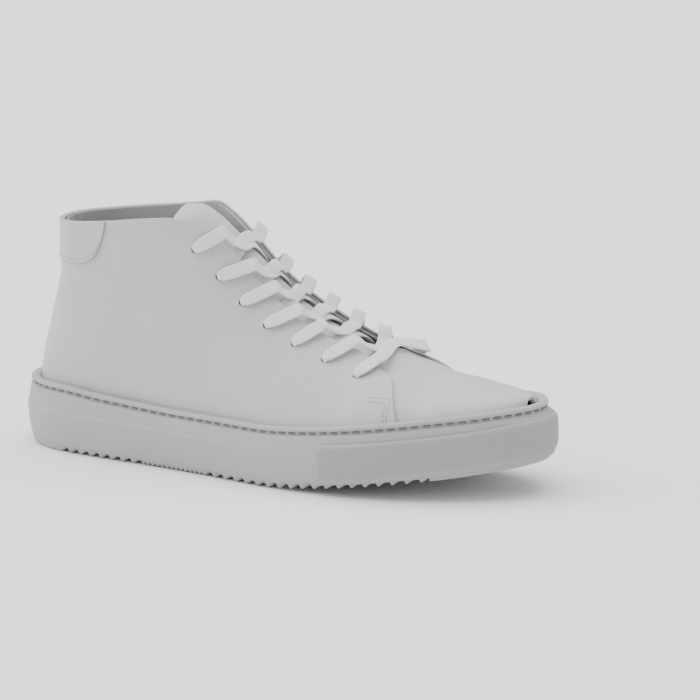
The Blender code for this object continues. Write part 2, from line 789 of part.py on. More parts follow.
def ribbon(name, stations, colour):
    """A tube with a flat rounded section along a route."""
    centre = np.array([s[0] for s in stations])
    along = np.gradient(centre, axis=0)
    points = []
    corners = [(-1, 0), (-0.8, -1), (0.8, -1), (1, 0), (0.8, 1), (-0.8, 1)]
    for place, t, (_, wide, size) in zip(centre, along, stations):
        t = t / np.linalg.norm(t)
        w = wide - t * (wide @ t)
        w /= np.linalg.norm(w)
        up = np.cross(t, w)
        points += [place + w * a * size[0] / 2 + up * b * size[1] / 2 for a, b in corners]
    k = len(corners)
    faces = [tuple(range(k))[::-1], tuple(range(len(points) - k, len(points)))]
    for i in range(len(centre) - 1):
        for j in range(k):
            a, b = i * k + j, i * k + (j + 1) % k
            faces.append((a, b, b + k, a + k))
    return add(name, points, faces, colour, 0.85)


def aglet(name, route):
    """A plain tube crimped on the end of the lace."""
    end = route[-1][0]
    d = route[-1][0] - route[-2][0]
    d = d / np.linalg.norm(d)
    bm = bmesh.new()
    bmesh.ops.create_cone(
        bm, cap_ends=True, segments=12, radius1=AGLET_RADIUS * MM, radius2=AGLET_RADIUS * MM,
        depth=AGLET_LENGTH * MM,
    )
    mesh = bpy.data.meshes.new(name)
    bm.to_mesh(mesh)
    bm.free()
    mesh.materials.append(material(name, TEXTILE, 0.3))
    o = bpy.data.objects.new(name, mesh)
    o.location = Vector(to_world([end + d * (0.4 + AGLET_LENGTH / 2)])[0])
    o.rotation_euler = Vector(d).to_track_quat("Z", "Y").to_euler()
    SHOE.objects.link(o)


def main():
    cupsole()
    sidewall_stitch()
    toe_bumper()
    slab("midsole_filler", *FILLER, FOAM)
    slab("strobel_board", *BOARD, TEXTILE)
    slab("footbed", *FOOTBED, GREY)
    quarters()
    heel_counter()
    heel_tab()
    tip = toe_tip()
    sheet("vamp", vamp_grid(214, 226, tip - 0.8, 12, 13), VAMP, LEATHER, 0.5)
    sheet("toe_puff", vamp_grid(250, 250, tip - 4.0, 8, 13), PUFF, FOAM, 0.7)
    sheet("vamp_lining", vamp_grid(224, 206, tip - 6.5, 10, 13), VAMP_LINING, GREY, 0.8)
    tongue()
    route = lace_route()
    ribbon("lace", smooth_route(route, 6.0), TEXTILE)
    aglet("lateral_aglet", lace_chain(-1))
    aglet("medial_aglet", lace_chain(1))


main()
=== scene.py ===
"""Looks of a plain leather high top for the right foot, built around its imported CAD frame.

Lengths are millimetres on the shoe's own drawing (heel at x = 0, toe at x = 300, lateral side at -Y)
until put() turns them into metres in the frame. Every sheet of the upper is one arched surface
moved inwards along its normals, as in the CAD, with finer rows, rounded edges and sewn detail.
"""

import math

import bpy
import numpy as np
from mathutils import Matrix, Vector, noise


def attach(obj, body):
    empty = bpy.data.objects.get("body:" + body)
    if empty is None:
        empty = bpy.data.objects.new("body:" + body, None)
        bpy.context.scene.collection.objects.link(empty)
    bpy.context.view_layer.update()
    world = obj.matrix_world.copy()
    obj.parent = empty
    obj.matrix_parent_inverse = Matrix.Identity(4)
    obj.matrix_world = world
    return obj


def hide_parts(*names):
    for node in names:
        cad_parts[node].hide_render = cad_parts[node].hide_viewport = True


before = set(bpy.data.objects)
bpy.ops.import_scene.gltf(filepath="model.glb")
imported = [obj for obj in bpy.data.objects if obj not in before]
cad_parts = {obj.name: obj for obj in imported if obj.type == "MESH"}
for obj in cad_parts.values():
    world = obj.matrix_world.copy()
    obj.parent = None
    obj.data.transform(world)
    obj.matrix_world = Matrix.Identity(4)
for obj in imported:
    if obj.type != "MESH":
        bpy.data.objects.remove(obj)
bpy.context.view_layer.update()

MM = 0.001

# ---------------------------------------------------------------- the drawing, as in the CAD

SOLE_OUTLINE = [
    (0, 0), (4, -16), (18, -30), (45, -38), (80, -41), (120, -45), (160, -51.5), (195, -54),
    (228, -49.5), (258, -38), (283, -21), (297, -3), (300, 10), (294.2, 26), (283, 37.8),
    (262, 47), (232, 52), (200, 52), (165, 46), (125, 39), (85, 37), (45, 36), (18, 29), (4, 15),
]
# Toe spring: the tread leaves the ground here and rises this much by the toe tip.
SPRING_START = 165.0
SPRING_RISE = 17.0
SPRING_RUN = 135.0
SPRING_POWER = 1.28
LIP_FOOT = 26.0
LIP_RISE = [
    (0, 4.0), (34, 4.0), (59, 2.4), (85, 0.9), (112, 0.0), (180, 0.4), (255, 0.4), (285, -0.8), (300, -2.2),
]
BUMPER_START = 200.0
BUMPER_TOP = 23.3
BUMPER_THICK = 1.1
BUMPER_GAP = 0.35

# The toe end of the wall leans back: how far at the lip, from which x, between which heights.
TOE_LEAN = 3.2
TOE_LEAN_FROM = 268.0
TOE_LEAN_RISE = (8.0, 34.0)

# Upper: plan inset from the widest outline, and the height above the tread where it starts.
UPPER_INSET = -7.5
UPPER_FOOT = 22.0
# Height of the ridge of the arched sections; behind the throat it is far above the shoe.
RIDGE = [
    (0, 640), (65, 612), (112, 177), (140, 115.5), (172, 89.5), (208, 70.5), (228, 63.2),
    (246, 56.9), (262, 53.8), (276, 51.8), (286, 50.2), (292, 48.0),
]
# The ridge's place across the shoe.
RIDGE_Y = [(0, 0), (60, -1), (112, -3), (160, 0.5), (208, 4), (250, 6), (293, 9.5)]
# Exponent of the section's super-ellipse.
FULLNESS = [(0, 1.6), (205, 1.6), (250, 2.1), (300, 2.1)]
# The heel leans forward by this much between these heights.
LEAN = 14.7
LEAN_LOW = 31.0
LEAN_HIGH = 104.0

# Top line of the quarters seen from the side: collar, top corner, facing, end of the facing.
LATERAL_TOP = [
    (15, 119.3), (30, 119.8), (45, 121.4), (65, 124), (83, 126.7), (100, 128.2), (108.6, 127.6),
    (115.6, 125), (120.4, 122.2), (128.5, 114.7), (134.5, 108.6), (142, 101), (155, 90.7),
    (169, 81.3), (190, 72), (205, 66.6), (214, 62.4), (219, 60), (225, 57), (229, 52.5),
    (233, 46), (237, 38.5), (240, 32.5),
]
MEDIAL_TOP = [
    (15, 119.3), (30, 119.8), (45, 121.4), (65, 124), (83, 126.7), (98, 129.2), (110, 125.8),
    (123, 118.7), (136, 109.5), (148, 98), (166, 85.5), (183.5, 76.9), (201, 70.8), (213, 66.8),
    (221, 63.2), (227, 59), (232, 52.5), (237, 43), (241, 34.5), (243, 31.5),
]
EYELETS = [
    (113.5, 113.0), (127.0, 100.0), (140.5, 88.0), (155.2, 78.0), (171.8, 70.4), (189.3, 63.9),
    (207.8, 57.7),
]
# The medial eyelets sit this far further along the throat; the last one is level with its facing.
MEDIAL_SHIFT = (6.0, -3.6)
MEDIAL_LAST_SHIFT = (2.6, 0.6)
EYELET_RADIUS = 2.2
TAB_EDGE = [(12, 99), (42, 99.2), (49, 100.4), (54.5, 103.6), (58.6, 109.1), (61.2, 116.7), (63.4, 123.6)]

# Depths of the layers below the outer surface: (outer face, inner face).
QUARTER = (0.0, 1.2)
LINING = (2.65, 3.3)
VAMP = (1.65, 2.75)
VAMP_LINING = (4.0, 4.6)
TAB = (-1.3, -0.35)

# Tongue: its centre line (the outer face) and half width.
TONGUE_LINE = [
    (224, 55.2), (208, 61.2), (190, 70.0), (172, 79.5), (155, 91.2), (140, 105.0), (125, 118.6),
    (112, 128.2), (102, 132.0), (94, 131.2),
]
# The tongue's half width and its drop at half width, as shares of the upper's half width.
TONGUE_EDGE = [
    (94, 0.52), (112, 0.50), (125, 0.48), (140, 0.48), (160, 0.45), (172, 0.415), (190, 0.43),
    (208, 0.45), (224, 0.44),
]
TONGUE_DROP = [
    (94, 7), (102, 10), (112, 16), (125, 21), (140, 24), (155, 19.5), (172, 14), (208, 9), (224, 7.5),
]
# The rounding of the tongue's two top corners: its length, and its depth as a share.
TONGUE_CORNER = (5.0, 0.13)
TONGUE_LAYERS = {"tongue": (0.0, 1.2), "tongue_padding": (1.8, 4.3), "tongue_lining": (5.4, 6.1)}

LACE_WIDTH = 7.2
LACE_THICK = 1.3
LACE_BUNCHED = 2.5
# Where a strand leaves one facing and lands on the other, as shares of its way along the shoe.
EDGE_SHARES = (0.22, 0.78)
# Each tucked tail: (distance along it, width, thickness, depth behind the outer surface).
TAIL = [(4, 5.0, 1.4, 5.0), (14, 6.0, 1.3, 5.6), (30, 6.0, 1.3, 6.6), (46, 2.4, 2.4, 8.5)]


def closed_spline(points, count):
    """Points along the closed cubic spline through the given points."""
    p = np.array(points, float)
    n = len(p)
    gap = np.linalg.norm(np.roll(p, -1, 0) - p, axis=1)
    a = np.zeros((n, n))
    b = np.zeros((n, p.shape[1]))
    for i in range(n):
        before = gap[i - 1]
        after = gap[i]
        a[i, (i - 1) % n] += before
        a[i, i] += 2 * (before + after)
        a[i, (i + 1) % n] += after
        b[i] = 6 * ((p[(i + 1) % n] - p[i]) / after - (p[i] - p[i - 1]) / before)
    bend = np.linalg.solve(a, b)
    start = np.r_[0, np.cumsum(gap)]
    at = np.linspace(0, start[-1], count, endpoint=False)
    k = np.clip(np.searchsorted(start, at, side="right") - 1, 0, n - 1)
    u = ((at - start[k]) / gap[k])[:, None]
    v = 1 - u
    j = (k + 1) % n
    h = gap[k][:, None]
    return v * p[k] + u * p[j] + ((v**3 - v) * bend[k] + (u**3 - u) * bend[j]) * h**2 / 6


def curve(points, at):
    """A smooth curve through points with growing x, without overshoot."""
    x = np.array([p[0] for p in points], float)
    y = np.array([p[1] for p in points], float)
    step = np.diff(x)
    slope = np.diff(y) / step
    tangent = np.zeros(len(x))
    same = slope[:-1] * slope[1:] > 0
    w1 = 2 * step[1:] + step[:-1]
    w2 = step[1:] + 2 * step[:-1]
    safe = np.where(same, slope[:-1], 1.0)
    safe_next = np.where(same, slope[1:], 1.0)
    tangent[1:-1] = np.where(same, (w1 + w2) / (w1 / safe + w2 / safe_next), 0.0)
    tangent[0] = slope[0]
    tangent[-1] = slope[-1]
    at = np.clip(np.asarray(at, float), x[0], x[-1])
    k = np.clip(np.searchsorted(x, at, side="right") - 1, 0, len(x) - 2)
    h = step[k]
    t = (at - x[k]) / h
    return (
        y[k] * (1 + 2 * t) * (1 - t) ** 2
        + tangent[k] * h * t * (1 - t) ** 2
        + y[k + 1] * t**2 * (3 - 2 * t)
        + tangent[k + 1] * h * t**2 * (t - 1)
    )


def smooth(low, high, at):
    t = np.clip((np.asarray(at, float) - low) / (high - low), 0, 1)
    return t * t * (3 - 2 * t)


def tread(x):
    """Height of the tread above the ground."""
    run = np.clip(np.asarray(x, float) - SPRING_START, 0, None) / SPRING_RUN
    return SPRING_RISE * run**SPRING_POWER


DENSE = closed_spline(SOLE_OUTLINE, 1440)


def offset_outline(distance):
    """The dense outline moved outwards by a distance."""
    along = np.roll(DENSE, -1, 0) - np.roll(DENSE, 1, 0)
    along /= np.linalg.norm(along, axis=1)[:, None]
    return DENSE + distance * np.stack([along[:, 1], -along[:, 0]], 1)


PROUD = offset_outline(BUMPER_GAP + BUMPER_THICK)
EXTENT = np.vstack([DENSE, PROUD[PROUD[:, 0] > BUMPER_START]])
CENTRE = (EXTENT.min(0) + EXTENT.max(0)) / 2


def half_outline(distance, side):
    """One half of the outline, heel to toe tip; side is -1 lateral or +1 medial."""
    line = offset_outline(distance)
    heel = int(line[:, 0].argmin())
    toe = int(line[:, 0].argmax())
    line = np.roll(line, -heel, 0)
    toe = (toe - heel) % len(line)
    if side < 0:
        return line[: toe + 1]
    return np.vstack([line[:1], line[toe:][::-1]])


def spread(line, count):
    """Points at equal lengths along a line."""
    length = np.r_[0, np.cumsum(np.linalg.norm(np.diff(line, axis=0), axis=1))]
    at = np.linspace(0, length[-1], count)
    return np.stack([np.interp(at, length, line[:, k]) for k in range(line.shape[1])], 1)


def ring(distance, height, half_count):
    """A closed ring round the sole; lateral point i faces medial point -i."""
    lateral = spread(half_outline(distance, -1), half_count + 1)
    medial = spread(half_outline(distance, 1), half_count + 1)
    line = np.vstack([lateral, medial[1:-1][::-1]])
    up = tread(line[:, 0]) + height
    line[:, 0] -= toe_lean(line[:, 0], height)
    return np.column_stack([line, up])


def to_world(points):
    """Millimetres on the drawing to metres about the middle of the sole's footprint."""
    p = np.asarray(points, float)
    return (p - [CENTRE[0], CENTRE[1], 0.0]) * MM


def ridge_height(x):
    foot = tread(x) + UPPER_FOOT
    points = [(a, math.log(b - float(tread(a)) - UPPER_FOOT)) for a, b in RIDGE]
    return foot, np.exp(curve(points, x))


def toe_lean(x, up):
    """How far the sole's wall leans back at a height above the tread."""
    return TOE_LEAN * smooth(TOE_LEAN_FROM, 300, x) * smooth(*TOE_LEAN_RISE, up)


def upper_outline(side):
    """One half of the upper's plan outline, which keeps inside the leaning lip."""
    line = half_outline(UPPER_INSET, side)
    line[:, 0] -= TOE_LEAN * smooth(TOE_LEAN_FROM, 300, line[:, 0])
    return line


UPPER_LINES = {side: upper_outline(side) for side in (-1, 1)}


def base_width(x, side):
    """The y of the upper's plan outline at x."""
    line = UPPER_LINES[side]
    return np.interp(x, line[:, 0], line[:, 1])


def lean(x, z):
    """How far the heel leans forward at base position x and height z."""
    fade = np.clip(1 - (np.asarray(x, float) - 5.5) / 100, 0, 1) ** 1.5
    return LEAN * smooth(LEAN_LOW, LEAN_HIGH, z) * fade


def on_upper(x, y, z):
    """The outer surface above base point (x, y) of the plan outline, at height z."""
    foot, height = ridge_height(x)
    power = np.interp(x, *zip(*FULLNESS))
    middle = curve(RIDGE_Y, x)
    rise = np.clip((z - foot) / height, 0, 1)
    narrow = (1 - rise**power) ** (1 / power)
    return np.stack([x + lean(x, z), middle + (y - middle) * narrow, z], -1)


def normals(grid):
    """Unit normals of a grid of points, towards the left of (columns x rows)."""
    a = np.gradient(grid, axis=0)
    b = np.gradient(grid, axis=1)
    n = np.cross(a, b)
    return n / np.maximum(np.linalg.norm(n, axis=2), 1e-9)[..., None]


def around_heel(reach, count):
    """Base points from x = reach on the lateral side, round the heel, to the medial side."""
    halves = []
    for side in (-1, 1):
        line = half_outline(UPPER_INSET, side)
        halves.append(line[line[:, 0] <= reach])
    return spread(np.vstack([halves[0][::-1], halves[1][1:]]), count)


def column(base, low, high, rows):
    """Points up the surface above a base point, closer together near the top, where it curves."""
    t = np.linspace(0, 1, rows)
    z = low + (high - low) * t * (1.5 - 0.5 * t)
    return on_upper(np.full(rows, base[0]), np.full(rows, base[1]), z)


def top_of(base, top):
    """Height of a side-view line above a base point, which the heel's lean moves forward."""
    high = 100.0
    for _ in range(12):
        high = float(curve(top, base[0] + lean(base[0], high)))
    return high


def toe_tip():
    return float(upper_outline(-1)[:, 0].max())


def tongue_point(x, share):
    """A point of the tongue's outer face; share is its place across, -1 to 1 for the upper's width."""
    middle = float(curve(RIDGE_Y, x))
    side = 1 if share > 0 else -1
    width = abs(float(base_width(x, side)) - middle)
    drop = float(curve(TONGUE_DROP, x)) * (abs(share) / 0.5) ** 1.6
    return np.array([x, middle + width * share, float(curve(TONGUE_LINE[::-1], x)) - drop])


def tongue_up(x):
    """The direction square to the tongue's centre line."""
    slope = float(curve(TONGUE_LINE[::-1], x + 0.5) - curve(TONGUE_LINE[::-1], x - 0.5))
    return np.array([-slope, 0.0, 1.0]) / math.hypot(slope, 1.0)


def tongue_grid(back, front, inset, rows, across):
    grid = []
    for x in np.linspace(back, front, rows):
        half = float(curve(TONGUE_EDGE, x)) - inset / 40
        corner = max(back + TONGUE_CORNER[0] - x, 0.0) / TONGUE_CORNER[0]
        half -= TONGUE_CORNER[1] * (1 - math.sqrt(1 - corner * corner))
        grid.append([tongue_point(x, half * v) for v in np.linspace(-1, 1, across)])
    return np.array(grid)


def eyelet(row, side):
    """Centre and outward normal of an eyelet on the outer surface."""
    x, z = EYELETS[row]
    if side > 0:
        shift = MEDIAL_SHIFT if row < len(EYELETS) - 1 else MEDIAL_LAST_SHIFT
        x, z = x + shift[0], z + shift[1]

    def at(dx, dz):
        return on_upper(x + dx, float(base_width(x + dx, side)), z + dz)

    n = np.cross(at(1, 0) - at(-1, 0), at(0, 1) - at(0, -1)) * -side
    n /= np.linalg.norm(n)
    return at(0, 0), n


def on_wall(x, z, side, height=0.0):
    """A point this far outside the quarter's surface, and the surface's normal there."""

    def at(dx, dz):
        return on_upper(x + dx, float(base_width(x + dx, side)), z + dz)

    n = np.cross(at(1, 0) - at(-1, 0), at(0, 1) - at(0, -1)) * -side
    n /= np.linalg.norm(n)
    return at(0, 0) + n * height, n


def facing_edge(x, side):
    return float(curve(LATERAL_TOP if side < 0 else MEDIAL_TOP, x))


def nearest_edge(row, side):
    """x of the facing edge's point that is nearest to an eyelet."""
    hole, _ = eyelet(row, side)
    tries = np.linspace(hole[0] - 4, hole[0] + 18, 45)
    far = [np.linalg.norm(on_wall(x, facing_edge(x, side), side)[0] - hole) for x in tries]
    return float(tries[int(np.argmin(far))])


def over_tongue(x, y, height):
    """A point this far above the tongue."""
    middle = float(curve(RIDGE_Y, x))
    width = abs(float(base_width(x, 1 if y > middle else -1)) - middle)
    return tongue_point(x, (y - middle) / width) + tongue_up(x) * height


def flat(place, n, d, width=LACE_WIDTH, thick=LACE_THICK):
    """A control point of the lace: place, direction across the ribbon, width, thickness."""
    return place, np.cross(n, d), width, thick


def across(start, end, over):
    """Route between two eyelets, each (row, side): out of the throat, over to the other facing."""
    a, _ = eyelet(*start)
    b, _ = eyelet(*end)
    d = (b - a) / np.linalg.norm(b - a)
    edges = nearest_edge(*start), nearest_edge(*end)
    leave, land = (edges[0] + (edges[1] - edges[0]) * f for f in EDGE_SHARES)
    edge = facing_edge(leave, start[1])
    out = []
    for f, deep, width in ((0.22, 4.9, 5.0), (0.55, 5.0, LACE_WIDTH), (1.0, 5.0, LACE_WIDTH)):
        x, z = a[0] + (leave - a[0]) * f, a[2] + (edge - a[2]) * f
        out.append(flat(*on_wall(x, z, start[1], -deep), d, width))
    low, high = out[-1][0], on_wall(land, facing_edge(land, end[1]), end[1], 3.1)[0]
    for f, height in ((0.3, min(over, 2.6)), (0.5, over), (0.72, over)):
        taut = low + (high - low) * f
        place = over_tongue(taut[0], taut[1], height)
        place[2] = max(place[2], taut[2])
        tilt = np.array([0, (2 * f - 1) * 0.3 * end[1], 0])
        out.append(flat(place, tongue_up(taut[0]) + tilt, d))
    return out + onto_eyelet(land, *end)


def onto_eyelet(land, row, side):
    """Route over the facing's edge to the outside of an eyelet, then through it."""
    hole, n = eyelet(row, side)
    edge = facing_edge(land, side)
    back = on_wall((land + hole[0]) / 2, (edge + hole[2]) / 2, side)[0] - hole
    back /= -np.linalg.norm(back)
    through = np.cross(n, back)
    place, up = on_wall(land, edge, side, 3.2)
    return [
        flat(place - back * 3.4, up, back),
        flat(*on_wall(land, edge, side, 3.1), back),
        flat(*on_wall((land + hole[0]) / 2, (edge + hole[2]) / 2, side, 2.2), back),
        (hole + n * 1.9 - back * 2.2, through, 6.2, 1.5),
        (hole + n * 0.9 + back * 0.1, through, 4.0, 1.9),
        (hole - n * 3.9, through, LACE_BUNCHED, LACE_BUNCHED),
    ]


def lace_chain(side):
    """Control points from the lowest eyelet of one side up to row one, then the tail."""
    route = []
    for row in range(len(EYELETS) - 1, 0, -1):
        route += across((row, side), (row - 1, -side), 4.1 if side < 0 else 2.1)
        side = -side
    return route + tail_route(side)


def tail_route(side):
    """Down inside the quarter, against the lining."""
    last, _ = eyelet(0, side)
    d = np.array([-0.42, 0.0, -0.91])
    out = []
    for along, width, thick, deep in TAIL:
        x, z = last[0] + d[0] * along, last[2] + d[2] * along
        place, n = on_wall(x, z, side)
        out.append(flat(place - np.array([0, side * deep, 0]), n, d, width, thick))
    return out


def lace_bar():
    """The straight stretch over the lowest row, lateral to medial."""
    row = len(EYELETS) - 1
    ends = [onto_eyelet(nearest_edge(row, side), row, side) for side in (-1, 1)]
    x = nearest_edge(row, -1)
    foot, rise = ridge_height(x)
    middle = np.array([x, float(curve(RIDGE_Y, x)), float(foot + rise) + 1.6])
    return ends[0][::-1] + [flat(middle, tongue_up(x), np.array([0, 1.0, 0]))] + ends[1]


def lace_route():
    """The whole lace: lateral tail, seven rows, medial tail."""
    return lace_chain(-1)[::-1] + lace_bar() + lace_chain(1)


def smooth_route(route, step):
    """Points, width directions and sizes along a Catmull-Rom curve through the route."""
    place = np.array([r[0] for r in route])
    size = np.array([(r[2], r[3]) for r in route], float)
    wide = []
    for i, r in enumerate(route):
        along = place[min(i + 1, len(place) - 1)] - place[max(i - 1, 0)]
        across_it = r[1] - along * (r[1] @ along) / (along @ along)
        across_it = across_it / np.linalg.norm(across_it)
        wide.append(across_it if not wide or across_it @ wide[-1] > 0 else -across_it)
    wide = np.array(wide)
    out = []
    padded = np.vstack([2 * place[0] - place[1], place, 2 * place[-1] - place[-2]])
    for i in range(len(place) - 1):
        p0, p1, p2, p3 = padded[i : i + 4]
        gap = np.linalg.norm(p2 - p1)
        m1 = (p2 - p0) * gap / (np.linalg.norm(p1 - p0) + gap)
        m2 = (p3 - p1) * gap / (np.linalg.norm(p3 - p2) + gap)
        for t in np.linspace(0, 1, math.ceil(gap / step) + 1)[:-1]:
            h = (2 * t**3 - 3 * t**2 + 1, t**3 - 2 * t**2 + t, -2 * t**3 + 3 * t**2, t**3 - t**2)
            at = h[0] * p1 + h[1] * m1 + h[2] * p2 + h[3] * m2
            out.append((at, wide[i] * (1 - t) + wide[i + 1] * t, size[i] * (1 - t) + size[i + 1] * t))
    out.append((place[-1], wide[-1], size[-1]))
    return out


# ---------------------------------------------------------------- mesh tools

SHOE_BODY = "shoe"
SIDES = ((-1, "lateral", LATERAL_TOP), (1, "medial", MEDIAL_TOP))


def put(name, points, faces, mat, slot, body=SHOE_BODY, replaced=(), uv=None):
    """A smooth-shaded mesh in the frame, riding on a body, standing for CAD nodes."""
    mesh = bpy.data.meshes.new(name)
    mesh.from_pydata(to_world(points).tolist(), [], faces)
    if uv is not None:
        layer = mesh.uv_layers.new(name="along_across")
        corner = np.zeros(len(mesh.loops), np.int32)
        mesh.loops.foreach_get("vertex_index", corner)
        layer.data.foreach_set("uv", np.asarray(uv, np.float32)[corner].ravel())
    mesh.materials.append(mat)
    mesh.shade_smooth()
    o = bpy.data.objects.new(name, mesh)
    bpy.context.scene.collection.objects.link(o)
    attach(o, body)
    if replaced:
        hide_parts(*replaced)
    return o


def grid_faces(rows, cols, start=0, flip=False, wrap=False):
    """Quads over a grid of points numbered row by row."""
    last = cols if wrap else cols - 1
    i, j = np.meshgrid(np.arange(rows - 1), np.arange(last), indexing="ij")
    a = start + i * cols + j
    b = start + i * cols + (j + 1) % cols
    quads = np.stack([a, b, b + cols, a + cols], -1).reshape(-1, 4)
    return (quads[:, ::-1] if flip else quads).tolist()


def rim_faces(rows, cols, flip):
    """Quads that join the edges of two equal grids, the second numbered after the first."""
    count = rows * cols
    rim = [i * cols for i in range(rows)] + [(rows - 1) * cols + j for j in range(1, cols)]
    rim += [i * cols + cols - 1 for i in range(rows - 2, -1, -1)] + list(range(cols - 2, 0, -1))
    quads = [(a, b, b + count, a + count) for a, b in zip(rim, rim[1:] + rim[:1])]
    return quads if flip else [q[::-1] for q in quads]


# Where the rows of a rounded edge lie, as shares of its radius from the end.
EDGE_STEPS = [1 - math.cos(k * math.pi / 8) for k in range(4)]


def stretch_ends(grid, r):
    """Rows moved in by r at both ends, with rounding rows added between them and the old ends."""
    step = np.linalg.norm(np.diff(grid, axis=0), axis=2)
    length = np.vstack([np.zeros(grid.shape[1]), np.cumsum(step, axis=0)])
    add = [r * a for a in EDGE_STEPS]
    out = np.empty((len(grid) + 2 * len(add), grid.shape[1], 3))
    for j in range(grid.shape[1]):
        total = max(length[-1, j], 2.2 * r)
        inner = r + length[:, j] / max(length[-1, j], 1e-6) * (total - 2 * r)
        at = np.r_[add, inner, [total - a for a in add[::-1]]]
        at *= length[-1, j] / total
        for k in range(3):
            out[:, j, k] = np.interp(at, length[:, j], grid[:, j, k])
    return out


def edge_share(rows):
    """Distance of each row from its nearer end, as a share of the edge's radius, at most 1."""
    return np.r_[EDGE_STEPS, np.ones(rows - 2 * len(EDGE_STEPS)), EDGE_STEPS[::-1]]


def outward(grid):
    """Normals that point away from the inside of the shoe."""
    n = normals(grid)
    middle = grid.copy()
    middle[..., 1] = curve(RIDGE_Y, grid[..., 0])
    middle[..., 2] = np.minimum(grid[..., 2], 60) * 0.5
    middle[..., 0] = np.clip(grid[..., 0], 60, 240)
    return -n if ((grid - middle) * n).sum() < 0 else n


def shell(name, grid, depths, mat, slot, relief=None, turned=True, **more):
    """A closed sheet with rounded edges between two depths below a grid's surface."""
    outer, inner = depths
    r = (inner - outer) / 2
    if turned:
        grid = stretch_ends(grid, r)
        grid = stretch_ends(grid.transpose(1, 0, 2), r).transpose(1, 0, 2)
    rows, cols = grid.shape[:2]
    share = np.minimum(edge_share(rows)[:, None], edge_share(cols)[None, :])
    dip = r * (1 - np.sqrt(np.clip(1 - (1 - share) ** 2, 0, 1)))
    n = outward(grid)
    raised = np.zeros((rows, cols)) if relief is None else relief(grid) * np.clip(share, 0, 1)
    top = grid - n * (outer + dip - raised)[..., None]
    under = grid - n * (inner - dip)[..., None]
    points = np.vstack([top.reshape(-1, 3), under.reshape(-1, 3)])
    flip = (normals(grid) * n).sum() < 0
    count = rows * cols
    faces = grid_faces(rows, cols, 0, flip)
    faces += grid_faces(rows, cols, count, not flip)
    faces += rim_faces(rows, cols, flip)
    return put(name, points, faces, mat, slot, **more)


def undulate(grid, scale, size):
    """Gentle unevenness: the same smooth noise at the same place each run."""
    flat_points = grid.reshape(-1, 3) / scale
    values = [noise.noise(Vector(p)) for p in flat_points]
    return np.array(values).reshape(grid.shape[:2]) * size


def tube(points, radius, sides, ups):
    """Rings of points round a short line, for threads."""
    out = []
    for k, p in enumerate(points):
        t = points[min(k + 1, len(points) - 1)] - points[max(k - 1, 0)]
        t = t / np.linalg.norm(t)
        w = np.cross(t, ups[k])
        w /= np.linalg.norm(w)
        u = np.cross(w, t)
        for s in range(sides):
            a = 2 * math.pi * s / sides
            out.append(p + (w * math.cos(a) + u * math.sin(a)) * radius[k])
    return out


STITCH_SIDES = 6
# One stitch from end to end: (place along it, share of its radius).
STITCH_SHAPE = [(-0.5, 0.45), (-0.44, 0.8), (-0.25, 1.0), (0.25, 1.0), (0.44, 0.8), (0.5, 0.45)]


def thread(name, line, up, pitch, fill, radius, mat, slot, sink=0.35, **more):
    """A row of separate stitches along a line of points, each dipping into the material at its ends."""
    step = np.linalg.norm(np.diff(line, axis=0), axis=1)
    length = np.r_[0, np.cumsum(step)]
    count = max(int(round(length[-1] / pitch)), 1)
    real = length[-1] / count
    points, faces, sides, shape = [], [], STITCH_SIDES, STITCH_SHAPE
    for i in range(count):
        centre = (i + 0.5) * real
        at = np.array([centre + a * real * fill for a, _ in shape])
        p = np.stack([np.interp(at, length, line[:, k]) for k in range(3)], 1)
        n = np.stack([np.interp(at, length, up[:, k]) for k in range(3)], 1)
        n /= np.linalg.norm(n, axis=1)[:, None]
        drop = np.array([-(2 * abs(a)) ** 3 * sink for a, _ in shape])
        p = p + n * drop[:, None]
        base = len(points)
        points += tube(p, [radius * b for _, b in shape], sides, n)
        faces += grid_faces(len(shape), sides, base, False, True)
        faces.append(tuple(range(base, base + sides)))
        end = base + sides * (len(shape) - 1)
        faces.append(tuple(range(end + sides - 1, end - 1, -1)))
    return put(name, np.array(points), faces, mat, slot, **more)


# ---------------------------------------------------------------- materials

def new_material(name, colour, roughness, specular=0.5, sheen=0.0):
    m = bpy.data.materials.new(name)
    m.use_nodes = True
    tree = m.node_tree
    shader = tree.nodes["Principled BSDF"]
    shader.inputs["Base Color"].default_value = (*colour, 1)
    shader.inputs["Roughness"].default_value = roughness
    shader.inputs["Specular IOR Level"].default_value = specular
    shader.inputs["Sheen Weight"].default_value = sheen
    return m, tree, shader


def add_node(tree, kind, **values):
    node = tree.nodes.new(kind)
    for key, value in values.items():
        if key in node.inputs:
            node.inputs[key].default_value = value
        else:
            setattr(node, key, value)
    return node


def object_place(tree, scale):
    place = add_node(tree, "ShaderNodeTexCoord")
    mapping = add_node(tree, "ShaderNodeMapping")
    mapping.inputs["Scale"].default_value = scale if hasattr(scale, "__len__") else (scale,) * 3
    tree.links.new(place.outputs["Object"], mapping.inputs["Vector"])
    return mapping.outputs["Vector"]


def surface_place(tree, scale):
    """Coordinates along and across a ribbon, in millimetres, times a scale."""
    place = add_node(tree, "ShaderNodeUVMap", uv_map="along_across")
    mapping = add_node(tree, "ShaderNodeMapping")
    mapping.inputs["Scale"].default_value = scale
    tree.links.new(place.outputs["UV"], mapping.inputs["Vector"])
    return mapping.outputs["Vector"]


def two_tones(tree, shader, factor, dark, light, low=0.3, high=0.7):
    ramp = add_node(tree, "ShaderNodeValToRGB")
    ramp.color_ramp.elements[0].position = low
    ramp.color_ramp.elements[0].color = (*dark, 1)
    ramp.color_ramp.elements[1].position = high
    ramp.color_ramp.elements[1].color = (*light, 1)
    tree.links.new(factor, ramp.inputs["Fac"])
    tree.links.new(ramp.outputs["Color"], shader.inputs["Base Color"])


